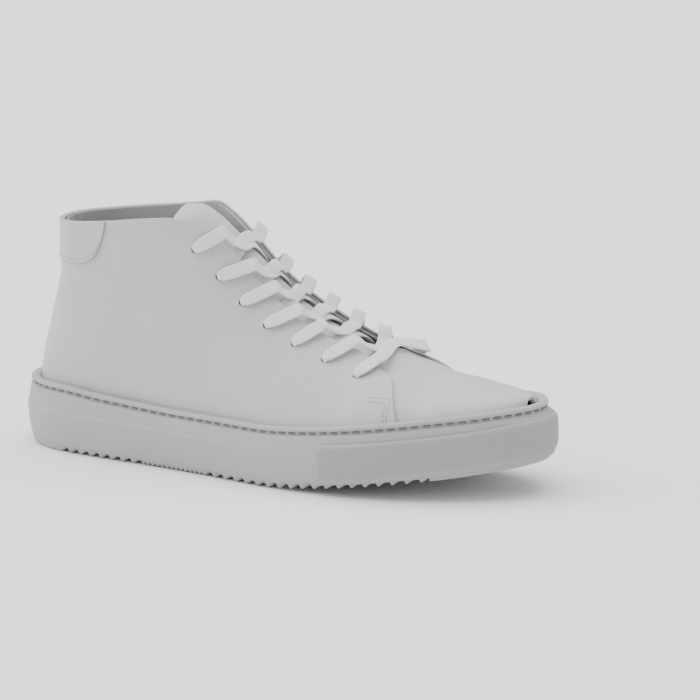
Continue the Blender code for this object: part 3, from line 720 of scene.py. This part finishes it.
def bump(tree, shader, height, strength, distance, before=None):
    b = add_node(tree, "ShaderNodeBump", Strength=strength, Distance=distance)
    tree.links.new(height, b.inputs["Height"])
    if before is not None:
        tree.links.new(before, b.inputs["Normal"])
    tree.links.new(b.outputs["Normal"], shader.inputs["Normal"])
    return b.outputs["Normal"]


def shade_of(colour, factor):
    return tuple(c * factor for c in colour)


def leather(name, colour):
    """Smooth full grain: fine pebble cells, faint pores and a slow tone change."""
    m, tree, shader = new_material(name, colour, 0.46, 0.42)
    slow = add_node(tree, "ShaderNodeTexNoise", Scale=1.0, Detail=3.0, Roughness=0.55)
    tree.links.new(object_place(tree, 34), slow.inputs["Vector"])
    two_tones(tree, shader, slow.outputs["Fac"], shade_of(colour, 0.965), shade_of(colour, 1.02))
    cells = add_node(tree, "ShaderNodeTexVoronoi", Scale=1.0, feature="SMOOTH_F1", Smoothness=0.6)
    tree.links.new(object_place(tree, 1150), cells.inputs["Vector"])
    first = bump(tree, shader, cells.outputs["Distance"], 0.20, 0.0002)
    grain = add_node(tree, "ShaderNodeTexNoise", Scale=1.0, Detail=4.0, Roughness=0.6)
    tree.links.new(object_place(tree, 420), grain.inputs["Vector"])
    bump(tree, shader, grain.outputs["Fac"], 0.16, 0.0004, first)
    rough = add_node(tree, "ShaderNodeMapRange")
    rough.inputs["To Min"].default_value = 0.40
    rough.inputs["To Max"].default_value = 0.54
    tree.links.new(grain.outputs["Fac"], rough.inputs["Value"])
    tree.links.new(rough.outputs["Result"], shader.inputs["Roughness"])
    return m


def rubber(name, colour):
    """Matt moulded rubber with a fine spark-eroded texture."""
    m, tree, shader = new_material(name, colour, 0.62, 0.35)
    slow = add_node(tree, "ShaderNodeTexNoise", Scale=1.0, Detail=2.0)
    tree.links.new(object_place(tree, 26), slow.inputs["Vector"])
    two_tones(tree, shader, slow.outputs["Fac"], shade_of(colour, 0.97), shade_of(colour, 1.02))
    fine = add_node(tree, "ShaderNodeTexNoise", Scale=1.0, Detail=2.0)
    tree.links.new(object_place(tree, 1500), fine.inputs["Vector"])
    bump(tree, shader, fine.outputs["Fac"], 0.22, 0.00012)
    return m


def cloth(name, colour, count, depth=0.00018, contrast=0.84):
    """A plain weave in the object's own space, for linings and the footbed's cover."""
    m, tree, shader = new_material(name, colour, 0.88, 0.2, 0.25)
    place = object_place(tree, count)
    waves = []
    for direction in ("X", "Z"):
        wave = add_node(tree, "ShaderNodeTexWave", Scale=1.0, Distortion=0.6, Detail=1.0)
        wave.bands_direction = direction
        tree.links.new(place, wave.inputs["Vector"])
        waves.append(wave.outputs["Fac"])
    both = add_node(tree, "ShaderNodeMath", operation="MULTIPLY")
    tree.links.new(waves[0], both.inputs[0])
    tree.links.new(waves[1], both.inputs[1])
    two_tones(tree, shader, both.outputs[0], shade_of(colour, contrast), shade_of(colour, 1.05), 0.0, 0.6)
    bump(tree, shader, both.outputs[0], 0.5, depth)
    return m


def woven_lace(name, colour):
    """Flat braid: slanting ribs, and fine yarns along the length."""
    m, tree, shader = new_material(name, colour, 0.86, 0.2, 0.2)
    ribs = add_node(tree, "ShaderNodeTexWave", Scale=1.0, Distortion=0.35, Detail=1.0)
    ribs.bands_direction = "DIAGONAL"
    tree.links.new(surface_place(tree, (0.42, 0.42, 1.0)), ribs.inputs["Vector"])
    yarns = add_node(tree, "ShaderNodeTexWave", Scale=1.0, Distortion=0.3, Detail=1.0)
    yarns.bands_direction = "Y"
    tree.links.new(surface_place(tree, (0.30, 0.52, 1.0)), yarns.inputs["Vector"])
    both = add_node(tree, "ShaderNodeMath", operation="MULTIPLY")
    tree.links.new(ribs.outputs["Fac"], both.inputs[0])
    tree.links.new(yarns.outputs["Fac"], both.inputs[1])
    two_tones(tree, shader, both.outputs[0], shade_of(colour, 0.90), colour, 0.0, 0.5)
    bump(tree, shader, both.outputs[0], 0.55, 0.00025)
    return m


def yarn(name, colour):
    """Twisted sewing thread."""
    m, tree, shader = new_material(name, colour, 0.75, 0.25, 0.1)
    twist = add_node(tree, "ShaderNodeTexWave", Scale=1.0, Distortion=0.5)
    twist.bands_direction = "DIAGONAL"
    tree.links.new(object_place(tree, 900), twist.inputs["Vector"])
    two_tones(tree, shader, twist.outputs["Fac"], shade_of(colour, 0.8), colour, 0.1, 0.7)
    bump(tree, shader, twist.outputs["Fac"], 0.4, 0.0001)
    return m


LEATHER = leather("leather", (0.525, 0.515, 0.508))
RUBBER = rubber("rubber", (0.40, 0.387, 0.38))
# The toe bumper: the sole's rubber painted darker, as painted shade of the toe end, which faces away from the
# key lamp.
KNURL_RUBBER_PAINTED_SHADE = rubber("knurled_rubber_painted_shade", (0.37, 0.357, 0.35))
LINING_CLOTH = cloth("lining_cloth", (0.42, 0.418, 0.41), 560)
FOOTBED_CLOTH = cloth("footbed_cloth", (0.33, 0.33, 0.325), 420)
LACE_COTTON = woven_lace("lace_cotton", (0.80, 0.80, 0.79))
SOLE_THREAD = yarn("sole_thread", (0.20, 0.20, 0.195))
UPPER_THREAD = yarn("upper_thread", (0.46, 0.455, 0.45))
AGLET_PLASTIC, _, _ = new_material("aglet_plastic", (0.75, 0.75, 0.74), 0.25)
BOARD_CLOTH = cloth("board_cloth", (0.62, 0.60, 0.56), 300)
STIFFENER_CLOTH = cloth("stiffener_cloth", (0.50, 0.50, 0.49), 640)
PADDING_CLOTH = cloth("padding_cloth", (0.44, 0.435, 0.43), 520)
FOAM = rubber("foam", (0.55, 0.545, 0.53))
# The parts kept from the frame, and what each is made of.
HIDDEN_PARTS = {
    "strobel_board": BOARD_CLOTH,
    "midsole_filler": FOAM,
    "lateral_eyestay_reinforcement": STIFFENER_CLOTH,
    "medial_eyestay_reinforcement": STIFFENER_CLOTH,
    "heel_counter": STIFFENER_CLOTH,
    "toe_puff": STIFFENER_CLOTH,
}

# ---------------------------------------------------------------- sole

COLUMNS = 1500


def loop_at(distance):
    """The closed outline moved outwards, at equal steps."""
    line = offset_outline(distance)
    closed = np.vstack([line, line[:1]])
    return spread(closed, COLUMNS + 1)[:-1]


BASE_LOOP = loop_at(0.0)


def out_directions(loop):
    along = np.roll(loop, -1, 0) - np.roll(loop, 1, 0)
    along /= np.linalg.norm(along, axis=1)[:, None]
    return np.stack([along[:, 1], -along[:, 0]], 1)


OUT = out_directions(BASE_LOOP)
# Tread teeth along the sole: (from x, to x, pitch, height).
TEETH = [(34.0, 88.0, 6.8, 2.4), (88.0, 127.0, 3.0, 1.5), (127.0, 257.0, 7.0, 2.5)]
# The sidewall's section: (distance outside the widest outline, height above the tread).
WALL_SECTION = [
    (-30, 0.0), (-20, 0.0), (-12, 0.0), (-8, 0.0), (-6, 0.0), (-5, 0.02), (-4.3, 0.1), (-3.8, 0.35),
    (-3.4, 0.8), (-3.1, 1.4), (-2.8, 2.1), (-2.5, 3.0), (-2.2, 3.8), (-1.7, 5.8), (-1.2, 8.2),
    (-0.8, 10.8), (-0.45, 13.4), (-0.25, 16.0), (-0.1, 18.2), (0.0, 19.6), (0.02, 20.0), (-0.12, 20.2),
    (-0.5, 20.32), (-0.62, 20.5), (-0.72, 21.2), (-1.0, 23.0), (-1.4, 25.0), (-1.75, 26.2),
    (-2.0, 26.8), (-2.35, 27.15), (-2.9, 27.4), (-3.25, 27.8), (-3.4, 28.4), (-3.25, 28.9),
    (-2.8, 29.2), (-2.3, 29.35), (-2.0, 29.7), (-1.95, 30.2), (-2.15, 30.8), (-2.6, 31.25),
    (-3.3, 31.5), (-4.2, 31.55), (-5.2, 31.4), (-6.1, 31.1), (-6.9, 30.5), (-7.2, 29.8), (-7.2, 22.0),
]
GROOVE_OUT = -3.0
GROOVE_UP = 28.3


def teeth(x):
    """Depth of the notch cut up into the tread's edge at x."""
    cut = np.zeros(len(x))
    for low, high, pitch, height in TEETH:
        share = ((x - low) / pitch) % 1.0
        ramp = np.where(share < 0.72, share / 0.72, (1 - share) / 0.28)
        inside = (x > low) & (x < high)
        cut = np.where(inside, height * np.clip(ramp * 1.25 - 0.12, 0, 1), cut)
    return cut


def cup_ring(out, up):
    """One closed ring of the sidewall at full resolution."""
    xy = BASE_LOOP + OUT * out
    z = tread(BASE_LOOP[:, 0]) + up
    if up > 20:
        step = curve(STEP_RISE, BASE_LOOP[:, 0]) if up < LIP_FOOT else curve(LIP_RISE, BASE_LOOP[:, 0])
        z = z + step * (smooth(19, 20, up) if up < LIP_FOOT else 1)
    xy = xy - np.outer(toe_lean(BASE_LOOP[:, 0], up), (1, 0))
    return np.column_stack([xy, z])


# The fine step in the sidewall runs a little higher at the heel.
STEP_RISE = [(0, 1.9), (40, 1.6), (92, 0.6), (133, 0.0), (180, -0.3), (300, -0.3)]


def cupsole():
    rings = []
    notch = teeth(BASE_LOOP[:, 0])
    for out, up in WALL_SECTION:
        r = cup_ring(out, up)
        fade = 0.35 if out < -12 else 1.0
        fade *= 1 - smooth(0.3, 3.2, up) if up > 0.3 else 1.0
        r[:, 2] += notch * fade
        rings.append(r)
    cols = COLUMNS
    points = np.vstack(rings)
    faces = grid_faces(len(rings), cols, 0, False, True)
    half = cols // 2
    start = int(BASE_LOOP[:, 0].argmin())
    order = [(start + i) % cols for i in range(cols)]
    top = len(points) - cols
    for i in range(half):
        corners = [order[i], order[i + 1], order[-i - 1], order[-i % cols]]
        corners = [v for k, v in enumerate(corners) if v not in corners[:k]]
        faces.append(tuple(corners[::-1]))
        faces.append(tuple(top + v for v in corners))
    return put("cup_sole", points, faces, RUBBER, "sole_rubber", replaced=["cupsole"])


def sole_thread():
    loop = BASE_LOOP + OUT * GROOVE_OUT
    loop[:, 0] -= toe_lean(BASE_LOOP[:, 0], GROOVE_UP)
    z = tread(BASE_LOOP[:, 0]) + GROOVE_UP + curve(LIP_RISE, BASE_LOOP[:, 0])
    line = np.column_stack([loop, z])
    line = np.vstack([line, line[:1]])
    up = np.column_stack([np.vstack([OUT, OUT[:1]]), np.full(len(line), 0.1)])
    thread("sole_stitches", line, up, 6.0, 0.72, 0.52, SOLE_THREAD, "thread", 0.5,
           replaced=["sidewall_stitch"])


BUMPER_FOOT = 2.2
BUMPER_CORNER = 4.0
# The least the skin stands out from the widest outline: (height above the tread, distance).
BUMPER_BACKING = [(0, -3.3), (3, -2.3), (9, -0.9), (16, -0.2), (20.5, 0.0), (23.4, -0.35)]
KNURL_PITCH = 1.5
KNURL_DEPTH = 0.46
BUMPER_STEP = 0.33


def toe_bumper():
    """The knurled skin round the toe, with a plain band along its foot and rounded rear corners."""
    line = offset_outline(0.0)
    front = np.flatnonzero(line[:, 0] > BUMPER_START)
    run = line[front[0]:front[-1] + 1]
    length = np.linalg.norm(np.diff(run, axis=0), axis=1).sum()
    cols = int(length / BUMPER_STEP)
    base = spread(run, cols)
    direction = np.gradient(base, axis=0)
    direction /= np.linalg.norm(direction, axis=1)[:, None]
    out = np.stack([direction[:, 1], -direction[:, 0]], 1)
    s = np.linspace(0, length, cols)
    from_end = np.minimum(s, length - s)
    low, high = BUMPER_FOOT, BUMPER_TOP
    rows = int((high - low) / BUMPER_STEP)
    t = np.linspace(0, 1, rows)
    corner = BUMPER_CORNER
    into_corner = corner - np.minimum(from_end, corner)
    round_off = corner - np.sqrt(np.clip(corner**2 - into_corner**2, 0, corner**2))
    section_out = np.array([o for o, z in WALL_SECTION if o > -5 and z < 27])
    section_up = np.array([z for o, z in WALL_SECTION if o > -5 and z < 27])
    grid = np.empty((rows, cols, 3))
    lift = np.empty((rows, cols))
    for i, share in enumerate(t):
        up = low + (high - round_off - low) * share
        wall = np.interp(up, section_up, section_out)
        wall = np.maximum(wall, np.interp(up, *zip(*BUMPER_BACKING)))
        a = (s + up) / KNURL_PITCH * math.pi
        b = (s - up) / KNURL_PITCH * math.pi
        diamond = np.abs(np.sin(a)) * np.abs(np.sin(b))
        upper_end = high - round_off
        plain = smooth(5.6, 6.0, up) * (1 - smooth(upper_end - 1.3, upper_end - 0.9, up))
        plain = plain * smooth(1.0, 1.4, from_end)
        lift[i] = diamond * KNURL_DEPTH * plain
        edge = np.minimum(np.minimum((high - round_off - up), up - low), from_end)
        crown = 1.0 - (1 - np.clip(edge / 0.9, 0, 1)) ** 2
        reach = wall + 0.3 + 0.85 * crown + lift[i]
        grid[i, :, :2] = base + out * reach[:, None]
        grid[i, :, 0] -= toe_lean(base[:, 0], up)
        grid[i, :, 2] = tread(base[:, 0]) + up
    back = grid.copy()
    back[..., :2] -= out[None] * 1.6
    count = rows * cols
    faces = grid_faces(rows, cols, 0, True) + grid_faces(rows, cols, count, False)
    faces += rim_faces(rows, cols, False)
    points = np.vstack([grid.reshape(-1, 3), back.reshape(-1, 3)])
    # The bumper's darker rubber is painted shade of the toe end.
    return put("knurled_bumper", points, faces, KNURL_RUBBER_PAINTED_SHADE, "sole_rubber", replaced=["toe_bumper"])


cupsole()
sole_thread()
toe_bumper()


# ---------------------------------------------------------------- upper

def quarter_base(side, stop, count):
    """Base points from the centre back seam to x = stop, at equal steps along the outline."""
    line = UPPER_LINES[side]
    length = np.r_[0, np.cumsum(np.linalg.norm(np.diff(line, axis=0), axis=1))]
    end = np.interp(stop, line[:, 0], length)
    at = np.linspace(0.25, end, count)
    return np.stack([np.interp(at, length, line[:, k]) for k in range(2)], 1)


def wall(side, top, stop, count, rows, drop=0.0):
    """The grid of one quarter: columns from the back seam forward, points from foot to top line."""
    grid = []
    for base in quarter_base(side, stop, count):
        low = float(tread(base[0])) + UPPER_FOOT
        grid.append(column(base, low, max(top_of(base, top) - drop, low + 1.5), rows))
    return np.array(grid)


PUNCH_SIDES = 24


def drilled(o, side):
    """Cuts the punched eyelets through a finished sheet."""
    cutters = []
    for row in range(len(EYELETS)):
        place, n = eyelet(row, side)
        turn = Vector(n).to_track_quat("Z", "Y").to_matrix()
        points, faces, sides = [], [], PUNCH_SIDES
        for depth in (3.0, -8.0):
            for k in range(sides):
                a = 2 * math.pi * k / sides
                spot = turn @ Vector((math.cos(a) * EYELET_RADIUS, math.sin(a) * EYELET_RADIUS, 0))
                points.append(place + np.array(spot) + n * depth)
        faces.append(tuple(range(sides)))
        faces.append(tuple(range(2 * sides - 1, sides - 1, -1)))
        faces += [(i + sides, (i + 1) % sides + sides, (i + 1) % sides, i) for i in range(sides)]
        cutters.append((points, faces))
    points = [p for group, _ in cutters for p in group]
    faces = [tuple(v + 2 * PUNCH_SIDES * k for v in f) for k, (_, group) in enumerate(cutters) for f in group]
    mesh = bpy.data.meshes.new("cut")
    mesh.from_pydata(to_world(points).tolist(), [], faces)
    tool = bpy.data.objects.new("cut", mesh)
    bpy.context.scene.collection.objects.link(tool)
    cut = o.modifiers.new("eyelets", "BOOLEAN")
    cut.operation = "DIFFERENCE"
    cut.solver = "EXACT"
    cut.object = tool
    bpy.context.view_layer.update()
    ready = o.evaluated_get(bpy.context.evaluated_depsgraph_get())
    fresh = bpy.data.meshes.new_from_object(ready)
    o.modifiers.clear()
    o.data = fresh
    fresh.shade_smooth()
    fresh.set_sharp_from_angle(angle=math.radians(50))
    bpy.data.objects.remove(tool)


def soft_wear(grid):
    """Unevenness of a lasted leather upper: small ripples on slower waves."""
    return undulate(grid, 17.0, 0.16) + undulate(grid + 40.0, 45.0, 0.22)


def quarters():
    for side, word, top in SIDES:
        grid = wall(side, top, 240, 330, 90)
        leather_sheet = shell(f"{word}_quarter_leather", grid, QUARTER, LEATHER, "upper_leather", soft_wear,
                              replaced=[f"{word}_quarter"])
        drilled(leather_sheet, side)
        grid = wall(side, top, 213, 160, 50, 0.4)
        cloth_sheet = shell(f"{word}_lining_cloth", grid, LINING, LINING_CLOTH, "lining_textile",
                            replaced=[f"{word}_quarter_lining"])
        drilled(cloth_sheet, side)


def heel_tab_grid():
    grid = []
    for base in around_heel(63.5 - LEAN * 0.4, 150):
        high, low = 118.0, 99.0
        for _ in range(12):
            high = float(curve(LATERAL_TOP, base[0] + lean(base[0], high)))
            low = float(curve(TAB_EDGE, base[0] + lean(base[0], low)))
        grid.append(column(base, min(low, high - 1.5), high, 30))
    return np.array(grid)


def heel_tab():
    grid = heel_tab_grid()
    shell("heel_tab_leather", grid, TAB, LEATHER, "upper_leather", lambda g: undulate(g, 15.0, 0.08),
          replaced=["heel_tab"])
    n = outward(grid)
    inset = 1.5
    step = np.linalg.norm(np.diff(grid, axis=1), axis=2).cumsum(1)
    line, ups = [], []
    for j in range(4, len(grid) - 4):
        row = int(np.searchsorted(step[j], inset)) + 1
        row = min(row, grid.shape[1] - 2)
        line.append(grid[j, row] - n[j, row] * (TAB[0] - 0.1))
        ups.append(n[j, row])
    thread("heel_tab_stitches", np.array(line), np.array(ups), 2.6, 0.7, 0.28, UPPER_THREAD, "thread")


def vamp_grid(back, side_back, tip, stations, across):
    """Arches from x = back at the ridge (side_back at the feather edge) to the toe."""
    a = np.linspace(-1, 1, across)[None, :]
    w = np.linspace(0, 1, stations)[:, None]
    edge = back + (side_back - back) * a * a
    x = edge + (tip - edge) * (1 - (1 - w) ** 1.6)
    foot, height = ridge_height(x)
    power = np.interp(x, *zip(*FULLNESS))
    reach = np.abs(np.sin(a * math.pi / 2)) ** (2 / power)
    rise = np.clip(np.cos(a * math.pi / 2), 0, None) ** (2 / power)
    middle = curve(RIDGE_Y, x)
    outer = np.where(a > 0, base_width(x, 1), base_width(x, -1))
    return np.stack([x, middle + (outer - middle) * reach, foot + height * rise], -1)


# The vamp's leather stands out this much more at the toe, reached between these x.
TOE_FULLNESS = 1.4
TOE_FULL = (240, 256)


def vamp():
    tip = toe_tip()
    shell("vamp_leather", vamp_grid(214, 226, tip - 0.8, 150, 220), VAMP, LEATHER, "upper_leather",
          lambda g: undulate(g, 22.0, 0.12) + TOE_FULLNESS * smooth(*TOE_FULL, g[..., 0]), replaced=["vamp"])
    shell("vamp_lining_cloth", vamp_grid(224, 206, tip - 6.5, 60, 90), VAMP_LINING, LINING_CLOTH,
          "lining_textile", replaced=["vamp_lining"])


def tongue_grid(back, front, inset, rows, across):
    grid = []
    for x in np.linspace(back, front, rows):
        half = float(curve(TONGUE_EDGE, x)) - inset / 40
        corner = max(back + TONGUE_CORNER[0] - x, 0.0) / TONGUE_CORNER[0]
        half -= TONGUE_CORNER[1] * (1 - math.sqrt(1 - corner * corner))
        grid.append([tongue_point(x, half * v) for v in np.linspace(-1, 1, across)])
    return np.array(grid)


def tongue():
    grid = tongue_grid(94, 224, 0.0, 170, 70)
    shell("tongue_leather", grid, TONGUE_LAYERS["tongue"], LEATHER, "upper_leather",
          lambda g: undulate(g, 14.0, 0.12), body="tongue", replaced=["tongue"])
    shell("tongue_lining_cloth", grid, TONGUE_LAYERS["tongue_lining"], LINING_CLOTH, "lining_textile",
          body="tongue", replaced=["tongue_lining"])
    inner = tongue_grid(95.2, 222, 0.25, 170, 70)
    filling = shell("tongue_filling", inner, (1.3, 5.3), PADDING_CLOTH, "foam", turned=False,
                    body="tongue", replaced=["tongue_padding"])
    spots = [tongue_point(x, share) + tongue_up(x) * 0.15 for x, share in
             zip(np.linspace(116.2, 121.0, 12), np.linspace(-0.22, -0.07, 12))]
    ups = np.array([tongue_up(118.0)] * 12)
    thread("tongue_stitches", np.array(spots), ups, 2.3, 0.66, 0.24, UPPER_THREAD, "thread",
           body="tongue")


# The corner rows on each quarter: (x, z) of the rear end, the corner and the lower end.
CORNER_STITCH = [(219.0, 49.0), (230.2, 49.0), (232.0, 35.0)]


def quarter_stitches():
    """The L-shaped double row that holds each quarter's front corner over the vamp."""
    for side, word, _ in SIDES:
        for k, gap in enumerate((0.0, 1.8)):
            corner = CORNER_STITCH[1]
            along = np.linspace(CORNER_STITCH[0][0], corner[0] - gap, 24)
            path = [(x, corner[1] - gap) for x in along]
            down = np.linspace(corner[1] - gap - 1.0, CORNER_STITCH[2][1], 24)
            slope = (CORNER_STITCH[2][0] - corner[0]) / (CORNER_STITCH[2][1] - corner[1])
            path += [(corner[0] - gap + (z - corner[1]) * slope, z) for z in down]
            spots = [on_wall(x, z, side, 0.12) for x, z in path]
            line = np.array([p for p, _ in spots])
            ups = np.array([n for _, n in spots])
            thread(f"{word}_corner_stitches_{k + 1}", line, ups, 2.0, 0.68, 0.32, UPPER_THREAD, "thread")


FOOTBED_INSET = -15.0
FOOTBED_FOOT = 22.8
FOOTBED_TOP = 25.8
FOOTBED_HOLLOW = 1.1
FOOTBED_POINTS = 180


def footbed():
    """The moulded insole: slightly hollow, with edges that rise to meet the lining."""
    rings, rows = [], 26
    r = ring(FOOTBED_INSET, FOOTBED_TOP, FOOTBED_POINTS)
    for t in np.linspace(0, 1, rows):
        centre = r.copy()
        centre[:, 1] = np.interp(r[:, 0], [15, 150, 285], [0, 2, 9])
        centre[:, 0] = np.interp(r[:, 0], [15, 285], [40, 262])
        spot = centre + (r - centre) * (1 - t)
        spot[:, 2] = tread(spot[:, 0]) + FOOTBED_TOP - FOOTBED_HOLLOW * smooth(0, 1, t)
        rings.append(spot)
    low = ring(FOOTBED_INSET, FOOTBED_FOOT, FOOTBED_POINTS)
    points = np.vstack([low] + rings)
    faces = grid_faces(rows + 1, len(low), 0, False, True)
    return put("footbed_cover", points, faces, FOOTBED_CLOTH, "footbed_textile", replaced=["footbed"])


LACE_SECTION = 20


def ribbon(name, stations, mat):
    """A flat braid: a rounded section with soft selvedges and a slight crown."""
    centre = np.array([s[0] for s in stations])
    along = np.gradient(centre, axis=0)
    length = np.r_[0, np.cumsum(np.linalg.norm(np.diff(centre, axis=0), axis=1))]
    a = np.linspace(0, 2 * math.pi, LACE_SECTION, endpoint=False)
    flat_x = np.sign(np.cos(a)) * np.abs(np.cos(a)) ** 0.55
    flat_y = np.sign(np.sin(a)) * np.abs(np.sin(a)) ** 0.55
    points, uv = [], []
    for place, t, (_, wide, size), s in zip(centre, along, stations, length):
        t = t / np.linalg.norm(t)
        w = wide - t * (wide @ t)
        w /= np.linalg.norm(w)
        up = np.cross(t, w)
        edge = 1 + 0.02 * math.sin(s * 2 * math.pi / 1.1)
        crown = 1 - 0.25 * np.abs(flat_x) ** 3 + 0.16 * np.exp(-((np.abs(flat_x) - 0.86) / 0.09) ** 2)
        sideways = np.outer(flat_x * size[0] / 2 * edge, w)
        points.append(place + sideways + np.outer(flat_y * crown * size[1] / 2, up))
        uv += [(s, x * size[0] / 2) for x in flat_x]
    k = LACE_SECTION
    points = np.vstack(points)
    faces = grid_faces(len(centre), k, 0, False, True)
    faces.append(tuple(range(k))[::-1])
    faces.append(tuple(range(len(points) - k, len(points))))
    return put(name, points, faces, mat, "lace_cotton", replaced=["lace"], uv=uv)


def aglet(name, route, node):
    """A plastic tube crimped on the end of the lace, with three pressed rings."""
    end = route[-1][0]
    d = route[-1][0] - route[-2][0]
    d = d / np.linalg.norm(d)
    w = np.cross(d, (0, 0, 1.0))
    w /= np.linalg.norm(w)
    u = np.cross(d, w)
    profile = [(0.0, 0.2), (0.05, 1.45), (0.4, 1.65)]
    for at in (4.0, 9.0, 14.0):
        profile += [(at - 0.6, 1.66), (at - 0.2, 1.5), (at + 0.2, 1.5), (at + 0.6, 1.66)]
    profile += [(19.0, 1.66), (19.6, 1.5), (19.95, 1.0), (20.0, 0.2)]
    sides, points = 24, []
    for s, r in profile:
        for k in range(sides):
            angle = 2 * math.pi * k / sides
            points.append(end + d * (0.4 + s) + (w * math.cos(angle) + u * math.sin(angle)) * r)
    faces = grid_faces(len(profile), sides, 0, False, True)
    faces.append(tuple(range(sides))[::-1])
    faces.append(tuple(range(len(points) - sides, len(points))))
    put(name, np.array(points), faces, AGLET_PLASTIC, "aglet_plastic", replaced=[node])


quarters()
heel_tab()
vamp()
tongue()
quarter_stitches()
footbed()
ribbon("lace_braid", smooth_route(lace_route(), 0.6), LACE_COTTON)
aglet("lateral_lace_tip", lace_chain(-1), "lateral_aglet")
aglet("medial_lace_tip", lace_chain(1), "medial_aglet")

# ---------------------------------------------------------------- stage, light and camera

def flat_material(name, colour, roughness):
    m, tree, shader = new_material(name, colour, roughness, 0.2)
    soft = add_node(tree, "ShaderNodeTexNoise", Scale=1.0, Detail=1.0)
    tree.links.new(object_place(tree, 3), soft.inputs["Vector"])
    two_tones(tree, shader, soft.outputs["Fac"], shade_of(colour, 0.995), shade_of(colour, 1.0))
    return m


FLOOR_REACH = 6.0


def floor():
    mesh = bpy.data.meshes.new("studio_floor")
    reach = FLOOR_REACH
    mesh.from_pydata([(-reach, -reach, 0), (reach, -reach, 0), (reach, reach, 0), (-reach, reach, 0)],
                     [], [(0, 1, 2, 3)])
    mesh.materials.append(flat_material("studio_floor", (0.90, 0.90, 0.90), 0.9))
    o = bpy.data.objects.new("studio_floor", mesh)
    bpy.context.scene.collection.objects.link(o)


def sun(name, towards_light, angle, strength):
    """Even light from a wide patch of sky, so the floor stays flat in tone."""
    data = bpy.data.lights.new(name, "SUN")
    data.angle = math.radians(angle)
    data.energy = strength
    o = bpy.data.objects.new(name, data)
    o.rotation_euler = Vector(towards_light).to_track_quat("Z", "Y").to_euler()
    bpy.context.scene.collection.objects.link(o)


VIEW_AZIMUTH = math.radians(30)
VIEW_ELEVATION = math.radians(12)
VIEW_DISTANCE = 2700.0
VIEW_LENS = 271.9
VIEW_SENSOR = 36.0
VIEW_TARGET = np.array([150.0, 0.0, 60.0])
# How far the target sits left of and above the middle of the view, as a share of its distance.
VIEW_LEFT = 0.0125591
VIEW_UP = 0.00007566


def camera():
    a, e = VIEW_AZIMUTH, VIEW_ELEVATION
    back = np.array([math.sin(a) * math.cos(e), -math.cos(a) * math.cos(e), math.sin(e)])
    right = np.array([math.cos(a), math.sin(a), 0.0])
    up = np.cross(back, right)
    place = VIEW_TARGET + VIEW_DISTANCE * (back + right * VIEW_LEFT - up * VIEW_UP)
    data = bpy.data.cameras.new("camera")
    data.lens = VIEW_LENS
    data.sensor_width = VIEW_SENSOR
    data.clip_end = 50.0
    o = bpy.data.objects.new("camera", data)
    o.location = to_world(place)
    o.rotation_euler = Vector(-back).to_track_quat("-Z", "Y").to_euler()
    bpy.context.scene.collection.objects.link(o)
    bpy.context.scene.camera = o


SKY_STRENGTH = 0.95
# Each lamp: the direction towards it, the angle it fills in degrees, its strength.
LAMPS = {"key": ((-0.85, -0.35, 0.75), 55, 1.85), "top": ((-0.05, 0.15, 1.0), 70, 2.55)}


def light():
    world = bpy.data.worlds.new("studio")
    world.use_nodes = True
    sky = world.node_tree.nodes["Background"]
    sky.inputs["Color"].default_value = (1.0, 1.0, 1.0, 1)
    sky.inputs["Strength"].default_value = SKY_STRENGTH
    bpy.context.scene.world = world
    for name, lamp in LAMPS.items():
        sun(name, *lamp)


def finish_hidden_parts():
    """Give every part kept from the frame a material of its own, though little of them shows."""
    for node, material in HIDDEN_PARTS.items():
        o = bpy.data.objects[node]
        if not o.material_slots:
            o.data.materials.append(None)
        for part in o.material_slots:
            part.link = "OBJECT"
            part.material = material


finish_hidden_parts()
floor()
light()
camera()
